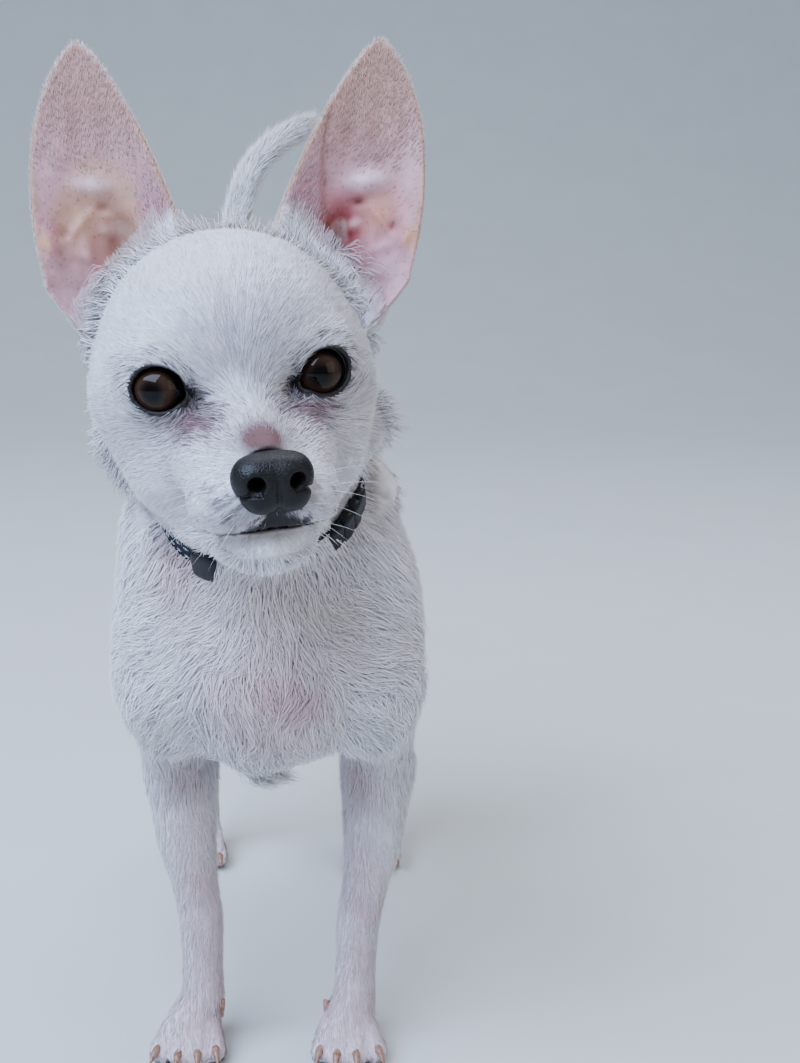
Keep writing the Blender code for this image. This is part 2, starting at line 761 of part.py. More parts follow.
def cut_out(item, cutter):
    boolean(item, cutter, "DIFFERENCE")
    remove(cutter)


for item in list(bpy.data.objects):
    bpy.data.objects.remove(item)

body = add_object("torso", mesh_of(body_field, (-92, -196, -8), (74, 186, 392), GRID))
thinned(body, BODY_TRIANGLES)

# Everything under the floor goes, which leaves the small flats that the dog stands on.
cut_out(body, prism([(-220, -30), (220, -30), (220, 0), (-220, 0)], (-120, 120), body_frame, 0))

tail = part_off(body, "tail", [(112, 222), (146, 196), (200, 196), (200, 396), (112, 396)], (-70, 40), body_frame)

# The head comes off along a slope from the throat to the nape, and the ears come off the head.
head_outline = [(-210, 147.3), (-10, 300.2), (-10, 420), (-210, 420)]
head = part_off(body, "head", head_outline, (-120, 120), body_frame)
ears = []
for side, name in ((-1, "ear_right"), (1, "ear_left")):
    outline = [(-30, 25.3), (45, -34.6), (62, -34.6), (62, 100), (-30, 100)]
    ears.append(part_off(head, name, outline, (-48, 34), ear_cut_frame(side)))
jaw_outline = [(-72, -38.5), (-44, -38.5), (-28, -39), (-14, -37), (-8, -46), (-10, -78), (-72, -78)]
jaw = part_off(head, "jaw", jaw_outline, (-45, 45), from_head)

# Nose leather and eyes, each with the head hollowed round it.
nose_low = from_head(NOSE_CENTRE) - 19
nose_high = from_head(NOSE_CENTRE) + 19
nose = add_object("nose", mesh_of(nose_field, nose_low, nose_high, 0.65))
thinned(nose, 700)
nose_bed = add_object("nose_bed", mesh_of(lambda p: nose_block_field(p) - GAP, nose_low, nose_high, 0.9))
thinned(nose_bed, 280)
cut_out(head, nose_bed)
eyes = []
for side, name in ((-1, "eye_right"), (1, "eye_left")):
    centre = from_head(eye_centre(side))
    cut_out(head, ball("socket", centre, EYE_RADIUS + 2 * GAP))
    eyes.append(ball(name, centre, EYE_RADIUS))

# Collar, slightly sunk into the coat
collar = collar_ring("collar", -0.9, COLLAR_THICKNESS, COLLAR_WIDTH / 2)
cut_out(body, collar_ring("bed", -0.9 - GAP, COLLAR_THICKNESS + 6, COLLAR_WIDTH / 2 + GAP))
neck_outline = [(-190, 124.9), (10, 277.9), (10, 330), (-190, 330)]
neck = part_off(body, "neck", neck_outline, (-120, 120), body_frame)

# Legs and paws
legs = []
for side, word in ((-1, "right"), (1, "left")):
    across = (REAR_SHIFT + 8, 100) if side > 0 else (-110, REAR_SHIFT - 8)
    thigh = [(30, 148), (60, 168), (84, 186), (120, 180), (190, 158), (190, -20), (30, -20)]
    hind = part_off(body, "hindleg_" + word, thigh, across, body_frame)
    across = (5, 90) if side > 0 else (-90, -5)
    fore = part_off(body, "foreleg_" + word, [(-130, 113), (-10, 108), (-10, -20), (-130, -20)], across, body_frame)
    for leg, front, name in ((hind, False, "paw_hind_"), (fore, True, "paw_front_")):
        low = [(-150, 25), (190, 25), (190, -20), (-150, -20)]
        paw = part_off(leg, name + word, low, (-120, 120), body_frame)
        add_claws(paw, side, front)
        legs += [leg, paw]
croup = part_off(body, "croup", [(62, 100), (70, 260), (200, 260), (200, 100)], (-120, 120), body_frame)

for item in [body, croup, neck, head, jaw, tail, *legs]:
    largest_body(item)
    paint(item, item.name + " coat", COAT, 0.85)
for item in ears:
    paint(item, item.name + " skin", EAR_COAT, 0.7)
for item in eyes:
    paint(item, item.name + " cornea", EYE_BROWN, 0.08)
paint(nose, "nose leather", LEATHER_BLACK, 0.35)
paint(collar, "collar webbing", WEBBING_NAVY, 0.6)
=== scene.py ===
"""A standing smooth-coated white chihuahua, life size, as a still museum model.

The solids of the frame give its size and place. Over them lies one skin, worked out from the same masses of
bone and muscle, and on the skin grows the coat, tuft by tuft. Lengths in the forms below are millimetres,
+X is the dog's left, -Y the way it faces and +Z up.
"""

import math

import bpy
import numpy as np
from mathutils import Matrix, Vector
from mathutils.bvhtree import BVHTree


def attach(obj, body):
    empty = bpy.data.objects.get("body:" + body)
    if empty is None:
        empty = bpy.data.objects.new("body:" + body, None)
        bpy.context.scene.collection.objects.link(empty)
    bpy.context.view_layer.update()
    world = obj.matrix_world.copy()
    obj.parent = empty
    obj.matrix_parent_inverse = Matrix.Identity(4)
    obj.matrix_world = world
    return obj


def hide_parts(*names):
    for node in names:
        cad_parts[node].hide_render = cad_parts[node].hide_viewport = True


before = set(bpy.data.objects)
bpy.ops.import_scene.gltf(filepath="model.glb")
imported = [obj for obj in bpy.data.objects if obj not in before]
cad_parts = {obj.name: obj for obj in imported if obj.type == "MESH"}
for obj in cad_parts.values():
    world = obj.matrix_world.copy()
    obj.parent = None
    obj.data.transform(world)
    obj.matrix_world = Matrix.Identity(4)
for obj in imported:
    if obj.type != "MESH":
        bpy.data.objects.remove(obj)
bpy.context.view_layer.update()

# Skin. One hide drawn over skull, ribs and limbs: thin and bare inside the ears and round the eyes, and
# thicker under the coat. It is worked out as one distance field blended from named masses, and is meshed
# finely on the head and more coarsely on the body, with the join hidden under the collar.


def ellipsoid(p, centre, radii):
    """Distance to a rounded mass, close enough near its face."""
    q = p - np.asarray(centre, dtype=float)
    k0 = np.linalg.norm(q / radii, axis=1)
    k1 = np.linalg.norm(q / np.square(radii), axis=1)
    return k0 * (k0 - 1.0) / np.maximum(k1, 1e-6)


def tapered(p, a, b, ra, rb):
    """Distance to a rod from a to b, with a radius at each end."""
    a = np.asarray(a, dtype=float)
    ab = np.asarray(b, dtype=float) - a
    t = np.clip((p - a) @ ab / (ab @ ab), 0.0, 1.0)
    return np.linalg.norm(p - a - t[:, None] * ab, axis=1) - (ra + (rb - ra) * t)


def join(a, b, k):
    """Two forms as one, with a soft fillet k mm deep between them."""
    h = np.clip(0.5 + 0.5 * (b - a) / k, 0.0, 1.0)
    return b + (a - b) * h - k * h * (1.0 - h)


def carve(a, b, k):
    """The first form with the second cut out of it, its edge rounded."""
    return -join(-a, b, k)


def rise(x, low, high):
    """A smooth step from 0 at low to 1 at high."""
    t = np.clip((x - low) / (high - low), 0.0, 1.0)
    return t * t * (3.0 - 2.0 * t)


def hill(x, middle, width):
    """1 at a value and fading to 0 on both sides of it."""
    return np.exp(-np.square((x - middle) / width))


def spot(q, centre, radii):
    """1 at a place and fading to 0 away from it."""
    return np.exp(-np.sum(np.square((q - np.asarray(centre, dtype=float)) / radii), axis=1))


def curve_through(points, steps):
    """A smooth Catmull-Rom line through a few points."""
    pts = np.asarray(points, dtype=float)
    pts = np.vstack([2 * pts[0] - pts[1], pts, 2 * pts[-1] - pts[-2]])
    line = []
    for i in range(1, len(pts) - 2):
        p0, p1, p2, p3 = pts[i - 1 : i + 3]
        for t in np.arange(steps) / steps:
            line.append(
                0.5 * (2 * p1 + (p2 - p0) * t + (2 * p0 - 5 * p1 + 4 * p2 - p3) * t**2
                       + (3 * p1 - p0 - 3 * p2 + p3) * t**3)
            )
    line.append(pts[-2])
    return np.array(line)


def limb(p, places, steps=4):
    """Distance to a rounded limb whose places are x, y, z and radius."""
    line = curve_through(places, steps)
    d = np.full(len(p), 1e3)
    for one, two in zip(line[:-1], line[1:]):
        d = np.minimum(d, tapered(p, one[:3], two[:3], one[3], two[3]))
    return d


# Where the head is, with its turn to the dog's left, its tilt and its nod
EYES_MIDDLE = np.array([-2.6, -129.0, 273.0])
HEAD_TURN = np.array(
    Matrix.Rotation(math.radians(12.5), 3, "Z")
    @ Matrix.Rotation(math.radians(-4.5), 3, "Y")
    @ Matrix.Rotation(math.radians(3.0), 3, "X")
)


def in_head(p):
    """From the body's frame to the head's: x to the dog's left, y back, z up, origin between the corneas."""
    return (p - EYES_MIDDLE) @ HEAD_TURN


def from_head(q):
    """From the head's frame back to the body's."""
    return np.asarray(q, dtype=float) @ HEAD_TURN.T + EYES_MIDDLE


# The eyeballs, and the lids that lie over them with a hair's breadth between
EYE_SPACING = 50.5
EYE_RADIUS = 9.2
EYE_DEPTH = 8.6
EYE_GAP = 0.15
LID = 1.7
LID_HALF_WIDTH = 8.3
LID_HALF_HEIGHT = 7.2


def eye_frame(side):
    """In the head's frame, an eye's centre, its axis forwards, and the ways outwards and up across it."""
    centre = np.array([side * EYE_SPACING / 2, EYE_DEPTH, 0.0])
    axis = np.array([side * 0.26, -0.96, 0.05])
    axis /= np.linalg.norm(axis)
    outward = np.cross([0.0, 0.0, 1.0], axis) * side
    outward /= np.linalg.norm(outward)
    return centre, axis, outward, np.cross(axis, outward * side)


SKULL_HALF_WIDTH = 44.0
SKULL_TOP = 46.0


def skull_field(q):
    """Cranium, cheeks, jaws and muzzle in the head's frame."""
    d = ellipsoid(q, (0, 37, 6), (SKULL_HALF_WIDTH, 40, SKULL_TOP - 6))
    d = join(d, ellipsoid(q, (0, 15, 9), (35, 21, 27)), 8)
    d = join(d, ellipsoid(q, (0, 45, -16), (38, 34, 34)), 10)
    for side in (-1, 1):
        d = join(d, ellipsoid(q, (side * 26, 30, -8), (23.8, 29, 27)), 10)
        d = join(d, ellipsoid(q, (side * 22.5, 22, -29), (19.5, 26, 19)), 10)
        d = join(d, ellipsoid(q, (side * 24, 9, 9), (12, 9, 8)), 7)
        d = join(d, ellipsoid(q, (side * 14, -3, -20), (13, 20, 13)), 8)
    d = join(d, ellipsoid(q, (0, -12, -26), (22.5, 33, 15.5)), 9)
    d = join(d, tapered(q, (0, 0, -9), (0, -36, -18), 11, 8), 7)
    for side in (-1, 1):
        d = join(d, ellipsoid(q, (side * 11, -27, -30), (13, 17, 10.5)), 5)
    d = join(d, ellipsoid(q, (0, -16, -44), (16.5, 25, 10)), 6)
    return join(d, ellipsoid(q, (0, 14, -44), (26, 30, 15)), 10)


def eye_places(q, side):
    """Distance to the eyeball, and places outwards, up and forwards from its centre."""
    centre, axis, outward, up = eye_frame(side)
    r = q - centre
    return np.linalg.norm(r, axis=1) - EYE_RADIUS, r @ outward, r @ up, r @ axis


def lid_opening(u, v):
    """The gap between the lids, round over the eye and drawn out to a slit at the inner corner."""
    oval = (np.hypot((u + 0.5) / LID_HALF_WIDTH, (v - 0.5) / LID_HALF_HEIGHT) - 1.0) * LID_HALF_HEIGHT
    across = np.stack([u, v], 1)
    corner = tapered(across, (-4.0, -1.0), (-7.4, -2.3), 4.6, 1.8)
    return join(oval, corner, 1.5)


MOUTH_Z = -37.4


def mouth_height(y):
    """The height of the line between the lips, which drops towards its corners."""
    return MOUTH_Z - 4.8 * rise(y, -38.0, -18.0)


# The fold between muzzle and cheek, for one side: places in the head's frame, and how wide it is
CHEEK_CREASE = [(33.3, 3.6, -22.5, 0.2), (30.4, 0.4, -31.3, 0.8), (26.6, 0.6, -39.3, 1.0),
                (20.3, -5.4, -44.3, 0.8), (15.6, -21.5, -43.5, 0.2)]
NOSE_CENTRE = np.array([1.1, -42.5, -20.6])
NOSE_HALF = np.array([11.8, 8.4, 9.6])

# How deep the coat is over the skin of the muzzle and the skull
DEPTH_MUZZLE = 0.7
DEPTH_SKULL = 2.3


def head_skin(p):
    """The head without the ears: lids and their folds, lips and the line of the mouth."""
    q = in_head(p)
    x, y, z = q.T
    d = skull_field(q) + DEPTH_MUZZLE + (DEPTH_SKULL - DEPTH_MUZZLE) * rise(y, -35.0, 30.0)
    slit = np.maximum(np.abs(z - mouth_height(y)) - 0.45, -(d + 2.6))
    slit = np.maximum(slit, y + 11.0)
    d = d - 0.9 * hill(z, mouth_height(y) + 1.7, 1.5) * rise(-y, 8.0, 20.0)
    d = carve(d, slit, 0.9)
    d = carve(d, tapered(q, (0, -42.0, -30.5), (0, -41.5, -38.0), 0.9, 0.8), 1.5)
    d = d + 0.9 * hill(x, 0.0, 6.0) * rise(z, 2.0, 20.0) * rise(-z, -44.0, -30.0) * rise(-y, -28.0, -10.0)
    d = d + 3.2 * spot(q, (-38, 10, -26), (15, 26, 17))
    nose_bed = ellipsoid(q, NOSE_CENTRE, NOSE_HALF - 0.5)
    d = carve(d, nose_bed, 1.5)
    for side in (-1, 1):
        crease = [(side * bx, by, bz, radius) for bx, by, bz, radius in CHEEK_CREASE]
        d = carve(d, limb(q, crease, 3), 4.5)
        ball, u, v, out = eye_places(q, side)
        pit = eye_frame(side)[0] + np.array([-side * 10.5, -8.0, -2.5])
        d = carve(d, ellipsoid(q, pit, (3.5, 3, 4)), 5)
        d = join(d, ball - LID, 4)
        across = np.hypot(u, v)
        fold = np.hypot(across - 12.4, ball - LID - 0.6) + 1.2 * np.maximum(1.0 - v, 0.0)
        d = carve(d, fold - 0.9, 1.2)
        bag = np.hypot(across - 12.8, ball - LID - 0.4) + 1.2 * np.maximum(v + 4.0, 0.0)
        d = carve(d, bag - 0.6, 1.2)
        d = carve(d, np.maximum(lid_opening(u, v), 2.0 - out), 0.6)
        d = np.maximum(d, EYE_GAP - ball)
    return d


EAR_LENGTH = 81.0
EAR_HALF_WIDTH = 26.5
EAR_CUP = 12.5
EAR_THICKNESS = 2.3
EAR_LEAN = math.radians(13.6)
EAR_BASE = {1: np.array([21.0, -72.0, 304.0]), -1: np.array([-44.0, -84.0, 302.0])}
BETWEEN_EARS = -12.0
DEPTH_EAR = 0.2


def ear_frame(side):
    """Base point and the ear's axes: up its length, outward, and to the front."""
    up = np.array([0.0, math.sin(EAR_LEAN), math.cos(EAR_LEAN)])
    out = np.array([float(side), 0.0, 0.0])
    front = np.array([0.0, -math.cos(EAR_LEAN), math.sin(EAR_LEAN)])
    return EAR_BASE[side], up, out, front


def ear_outline(s):
    """Centre line and half width across the ear at a share s of its length."""
    along = np.clip(s, 0.0, 1.0)
    middle = 3.5 + 15.5 * (1.0 - (1.0 - along) ** 1.5)
    half = EAR_HALF_WIDTH * (1.0 - along**1.9) ** 0.70
    below = np.clip(-s - 0.03, 0.0, 1.0)
    return middle - 60.0 * below**1.3, half * (1.0 - 1.2 * below)


def ear_places(p, side):
    """Share of the length, place across from -1 inside to 1 outside, height over the sheet, and edge."""
    base, up, out, front = ear_frame(side)
    q = p - base
    a, b, c = q @ up, q @ out, q @ front
    s = a / EAR_LENGTH
    middle, half = ear_outline(s)
    half = np.maximum(half, 0.6)
    across = (b - middle) / half
    cup = 1.0 + EAR_CUP * np.clip(1.0 - s, 0.0, 1.2) ** 1.4
    reach = np.clip(across, -1.15, 1.15)
    height = c + cup * (1.0 - reach**2)
    slope = 2.0 * cup * reach / half
    edge = (np.abs(b - middle) - half) * 0.85
    edge = np.maximum(edge, np.maximum(a - EAR_LENGTH, -22.0 - a))
    return s, across, height / np.sqrt(1.0 + slope**2), edge


def ear_fold_edge(s):
    """How far across the ear its rolled inner edge reaches at a share s of the length."""
    return -0.05 - 1.25 * np.clip(s, -0.1, 0.72)


# Ridges on an ear's front: height, middle along the ear, slant, reach along, middle across, reach across
EAR_RIDGES = [(2.4, 0.40, 0.0, 0.050, 0.10, 0.30), (1.3, 0.36, -0.30, 0.026, 0.45, 0.28),
              (1.1, 0.14, 0.0, 0.12, 0.36, 0.08), (1.6, 0.215, 0.0, 0.035, 0.06, 0.10),
              (0.9, 0.06, 0.10, 0.025, 0.55, 0.25), (2.4, 0.14, 0.0, 0.08, 0.80, 0.10)]
# The same for its hollow, which also shows at the back, and for the dents in it
EAR_HOLLOWS = [(4.6, 0.17, 0.0, 0.11, -0.14, 0.24), (1.5, 0.315, 0.0, 0.020, 0.05, 0.12),
               (1.6, 0.20, 0.0, 0.03, 0.62, 0.07)]


def ear_waves(s, across, waves):
    """The summed height of ridges or hollows at each place."""
    total = np.zeros(len(s))
    for height, middle, slant, reach, aside, aside_reach in waves:
        total += height * hill(s, middle + slant * across, reach) * hill(across, aside, aside_reach)
    return total


def ear_heights(s, across):
    """How far the ear's two faces stand from its sheet: rolled edge, cross ridges, pouch and hollow."""
    thick = EAR_THICKNESS * (1.0 + 0.5 * np.clip(0.4 - s, 0.0, 0.6)) - 0.6 * rise(s, 0.3, 0.9)
    fold_edge = ear_fold_edge(s)
    middle, half = (fold_edge - 1.0) / 2, (fold_edge + 1.0) / 2
    relief = 2.8 * rise(1.2 - np.abs(across - middle) / half, 0.0, 0.55)
    relief *= rise(-s, -0.95, -0.15) * rise(s, -0.3, -0.1)
    relief += ear_waves(s, across, EAR_RIDGES)
    relief += 0.35 * np.sin(across * 12.0 + s * 4.0) * rise(s, 0.45, 0.6) * rise(-s, -0.9, -0.6)
    hollow = ear_waves(s, across, EAR_HOLLOWS)
    return thick / 2 + relief - hollow, thick / 2 + np.maximum(hollow - 0.4, 0.0)


def border_of_ear(across):
    """The share of the ear's length up to which the skull's hair covers its front."""
    return 0.10 - 0.27 * across


def ear_skin(p, side):
    """One cupped sheet, rolled along its inner edge, on a root that swells out of the skull behind it."""
    base, up, out, front = ear_frame(side)
    s, across, height, edge = ear_places(p, side)
    ahead, behind = ear_heights(s, across)
    d = np.maximum(height - ahead, -height - behind)
    d = -join(-d, -edge, 1.0)
    root = base + 4.0 * out - 13.0 * front
    d = join(d, ellipsoid((p - root) @ np.stack([out, front, up], 1), (0, 0, 0), (19, 11, 27)), 9)
    return d + DEPTH_EAR


def concha_field(p, side):
    """The open space in front of an ear's sheet, down to the bank of hair where the skull begins."""
    s, across, height, edge = ear_places(p, side)
    low = (border_of_ear(np.clip(across, -0.8, 1.1)) - s) * EAR_LENGTH + 1.0
    sides = np.maximum(across * 26.0 - 27.0, -across * 24.0 - 15.0 - 8.0 * rise(s, 0.2, 0.4))
    space = np.maximum(np.maximum(ear_heights(s, across)[0] + 0.8 - height, low), sides)
    return np.maximum(space, np.maximum(s * EAR_LENGTH - 40.0, height - 22.0))


# The neck's waist, which the collar sits in: half width, half depth, middle, and its tilt forwards
NECK_WAIST = (34.5, 47.0)
COLLAR_MIDDLE = np.array([-2.0, -77.0, 232.5])
COLLAR_TILT = math.radians(37.0)
COLLAR_ALONG = np.array([0.0, math.cos(COLLAR_TILT), math.sin(COLLAR_TILT)])
COLLAR_NORMAL = np.array([0.0, -math.sin(COLLAR_TILT), math.cos(COLLAR_TILT)])


def over_collar(p):
    """Height above the collar's plane, on the head's side."""
    return (p - COLLAR_MIDDLE) @ COLLAR_NORMAL


def waist_field(p):
    """Distance outside the neck's waist at the collar, which flares above and below it."""
    q = p - COLLAR_MIDDLE
    wide, deep = NECK_WAIST
    u, v = q[:, 0], q @ COLLAR_ALONG
    k0 = np.hypot(u / wide, v / deep)
    k1 = np.hypot(u / wide**2, v / deep**2)
    level = q @ COLLAR_NORMAL
    flare = 1.6 + np.square(u / wide / np.maximum(k0, 1e-6)) * np.where(level > 0, 3.4, 1.6)
    return k0 * (k0 - 1.0) / np.maximum(k1, 1e-6) - flare * np.maximum(np.abs(level) - 6.0, 0.0)


# The trunk's landmarks, and where the legs leave it
CHEST_Y = -62.0
CHEST_Z = 170.0
SHOULDER_HALF_WIDTH = 57.0
LOIN_Y = 52.0
CROUP_Y = 96.0
BACK_Z = 221.0
NECK_HALF_WIDTH = 36.0
LEG_X = 38.0
ELBOW_Z = 110.0
REAR_SHIFT = -10.0
DEPTH_TRUNK = 2.5


def rear_middle(y):
    """How far the spine has moved over to the dog's right, because the hind end stands a little aside."""
    return REAR_SHIFT * rise(y, -20.0, 90.0)


def trunk_skin(p):
    """Chest, back, loin, croup and neck."""
    d = ellipsoid(p, (0, CHEST_Y, CHEST_Z), (49, 51, 53))
    d = join(d, ellipsoid(p, (-3, -62, 196), (52, 34, 34)), 10)
    d = join(d, tapered(p, (-3, -56, 188), from_head((0, 40, -14)), 45, NECK_HALF_WIDTH), 14)
    d = join(d, ellipsoid(p, (-7, -68, 247), (52.5, 27, 28)), 10)
    d = join(d, ellipsoid(p, (-9, -62, 212), (47.5, 30, 28)), 8)
    d = join(d, ellipsoid(p, (5, -66, 226), (44, 27, 24)), 8)
    d = join(d, ellipsoid(p, (-30, -82, 246), (28, 18, 21)), 8)
    for side in (-1, 1):
        width = SHOULDER_HALF_WIDTH - 36 + (1.5 if side < 0 else 0.0)
        d = join(d, ellipsoid(p, (side * 36, -70, 174), (width, 30, 46)), 10)
        d = join(d, tapered(p, (side * 37, -84, 158), (side * (LEG_X + 1), -48, ELBOW_Z + 2), 18, 14), 9)
    d = join(d, ellipsoid(p, (-4, -76, 140), (17, 24, 15)), 9)
    q = p.copy()
    q[:, 0] -= rear_middle(p[:, 1])
    d = join(d, ellipsoid(q, (0, -8, 176), (46, 66, 47)), 14)
    d = join(d, ellipsoid(q, (0, LOIN_Y, BACK_Z - 36), (39, 60, 36)), 16)
    d = join(d, ellipsoid(q, (0, CROUP_Y, BACK_Z - 40), (39, 37, 38)), 14)
    d = d + 4.0 * spot(p, (16, -84, 118), (15, 26, 12)) + 2.5 * spot(p, (-22, -84, 118), (11, 26, 12))
    return carve(d, -waist_field(p), 5) + DEPTH_TRUNK * rise(np.abs(over_collar(p)), 3.0, 12.0)


CARPUS_Z = 50.0
HOCK_Z = 62.0
PAW_HALF_WIDTH = 12.0
TOE_RADIUS = 5.4
PAD_Z = 4.5
FRONT_PAW_SHIFT = {-1: -6.0, 1: -2.0}
PASTERN_SHIFT = {-1: -1.5, 1: 0.0}
DEPTH_LEG = 1.1


def paw_place(side, front):
    """Where a paw's middle stands on the floor."""
    if front:
        return np.array([side * (LEG_X - 9.5) + FRONT_PAW_SHIFT[side], -62.0])
    return np.array([REAR_SHIFT + side * 42.0, 110.0])


def toe_places(place, side):
    """Knuckle and tip of the four toes of a paw, the outer ones last."""
    x, y = place
    places = []
    for spread in (-1.0, -0.36, 0.36, 1.0):
        middle = 1.0 - abs(spread)
        knuckle = np.array([x + side * spread * 6.6, y - 7.0 - 3.0 * middle, 12.0])
        splay = 1.5 if spread == 1.0 else 0.0
        tip = np.array([x + side * (spread * (PAW_HALF_WIDTH - 2.6) + splay), y - 15.5 - 4.5 * middle, 5.0])
        places.append((knuckle, tip))
    return places


def paw_field(p, place, side):
    """Instep, four toes and the main pad."""
    x, y = place
    d = ellipsoid(p, (x, y - 3.0, 11.0), (11.0, 12.0, 10.5))
    for knuckle, tip in toe_places(place, side):
        d = join(d, tapered(p, knuckle, tip, TOE_RADIUS, TOE_RADIUS + 0.2), 1.4)
    return join(d, ellipsoid(p, (x, y - 1.0, PAD_Z), (9.5, 9.0, PAD_Z + 1.0)), 3)


def foreleg_skin(p, side):
    """From the elbow down to the toes."""
    x = side * LEG_X
    wrist = side * (LEG_X - 7.5) + PASTERN_SHIFT[side] / 2
    pastern = side * (LEG_X - 9.0) + PASTERN_SHIFT[side]
    places = [(x, -50, ELBOW_Z, 14.5), (side * (LEG_X - 1.5), -53, 84, 12.2)]
    places += [(side * (LEG_X - 4.5), -56, 66, 9.6), (wrist, -57.5, CARPUS_Z, 9.2)]
    places += [(pastern + side * 0.5, -59.5, 34, 8.7), (pastern, -62.5, 20, 9.0)]
    d = limb(p, places)
    d = join(d, ellipsoid(p, (side * (LEG_X - 9.0), -50.5, CARPUS_Z - 3), (4.5, 4, 6)), 4)
    return join(d, paw_field(p, paw_place(side, True), side), 5) + DEPTH_LEG


def hindleg_skin(p, side):
    """Thigh, shank, hock and foot."""
    x = REAR_SHIFT + side * 32.0
    foot = paw_place(side, False)
    d = ellipsoid(p, (REAR_SHIFT + side * 28, 92, 156), (19, 36, 44))
    places = [(x, 82, 142, 24), (x + side * 2, 78, 124, 19.5), (x + side * 5, 92, 97, 13.5)]
    places += [(x + side * 8, 112, 74, 9.2), (x + side * 9, 121, HOCK_Z - 3, 8.4)]
    places += [(x + side * 9.5, 119, 38, 7.8), (foot[0], foot[1] + 5, 20, 8.6)]
    d = join(d, limb(p, places), 9)
    d = join(d, tapered(p, (x + side * 8, 121, HOCK_Z + 10), (x + side * 9, 126, HOCK_Z), 3.4, 4.8), 7)
    depth = DEPTH_LEG + (DEPTH_TRUNK - DEPTH_LEG) * rise(p[:, 2], 70.0, 130.0)
    return join(d, paw_field(p, foot, side), 5) + depth


DEPTH_TAIL = 1.7
TAIL_RADII = (9.4, 5.4)
TAIL_LINE = curve_through(
    [(-8, 114, 196), (-14, 136, 214), (-24, 155, 243), (-32, 162, 275), (-33.5, 163, 303),
     (-28, 163, 329), (-16, 164, 346), (0, 165, 356)], 5)


def tail_skin(p):
    """The tail, up and over the back, thinner towards its tip."""
    share = np.linspace(0, 1, len(TAIL_LINE))[:, None] ** 0.8
    radii = TAIL_RADII[0] + (TAIL_RADII[1] - TAIL_RADII[0]) * share - DEPTH_TAIL
    return limb(p, np.hstack([TAIL_LINE, radii]), 1)


def nearby(p, low, high, field):
    """A field that is only worked out inside a box, and is far away outside it."""
    d = np.full(len(p), 90.0)
    inside = np.all((p > low) & (p < high), axis=1)
    if inside.any():
        d[inside] = field(p[inside])
    return d


FLOOR_GAP = 0.3


def body_skin(p):
    """The whole hide as one solid."""
    d = nearby(p, (-92, -150, 80), (80, 160, 330), trunk_skin)
    for side in (-1, 1):
        across = ((-100, 20), (-30, 90))[side > 0]
        low, high = (across[0], -110, -20), (across[1], -10, 160)
        d = join(d, nearby(p, low, high, lambda r: foreleg_skin(r, side)), 7)
        low, high = (across[0], 20, -20), (across[1], 170, 240)
        d = join(d, nearby(p, low, high, lambda r: hindleg_skin(r, side)), 11)
    d = join(d, nearby(p, (-70, 80, 150), (40, 200, 400), tail_skin), 9)
    d = join(d, nearby(p, (-90, -210, 180), (80, -20, 400), head_skin), 9)
    for side in (-1, 1):
        ball = np.linalg.norm(p - from_head(eye_frame(side)[0]), axis=1) - EYE_RADIUS
        d = np.maximum(d, EYE_GAP - ball)
    for side in (-1, 1):
        middle = EAR_BASE[side] + np.array([side * 8.0, 10.0, 30.0])
        low, high = middle - (60, 50, 90), middle + (60, 50, 80)
        d = join(d, nearby(p, low, high, lambda r: ear_skin(r, side)), 5)
        d = carve(d, nearby(p, low, high, lambda r: concha_field(r, side)), 1.6)
    return np.maximum(d, FLOOR_GAP - p[:, 2])


# Cells along the edge of a block; a block whose middle lies far from the surface isn't sampled any finer
COARSE = 6
BLOCKS_AT_ONCE = 2000


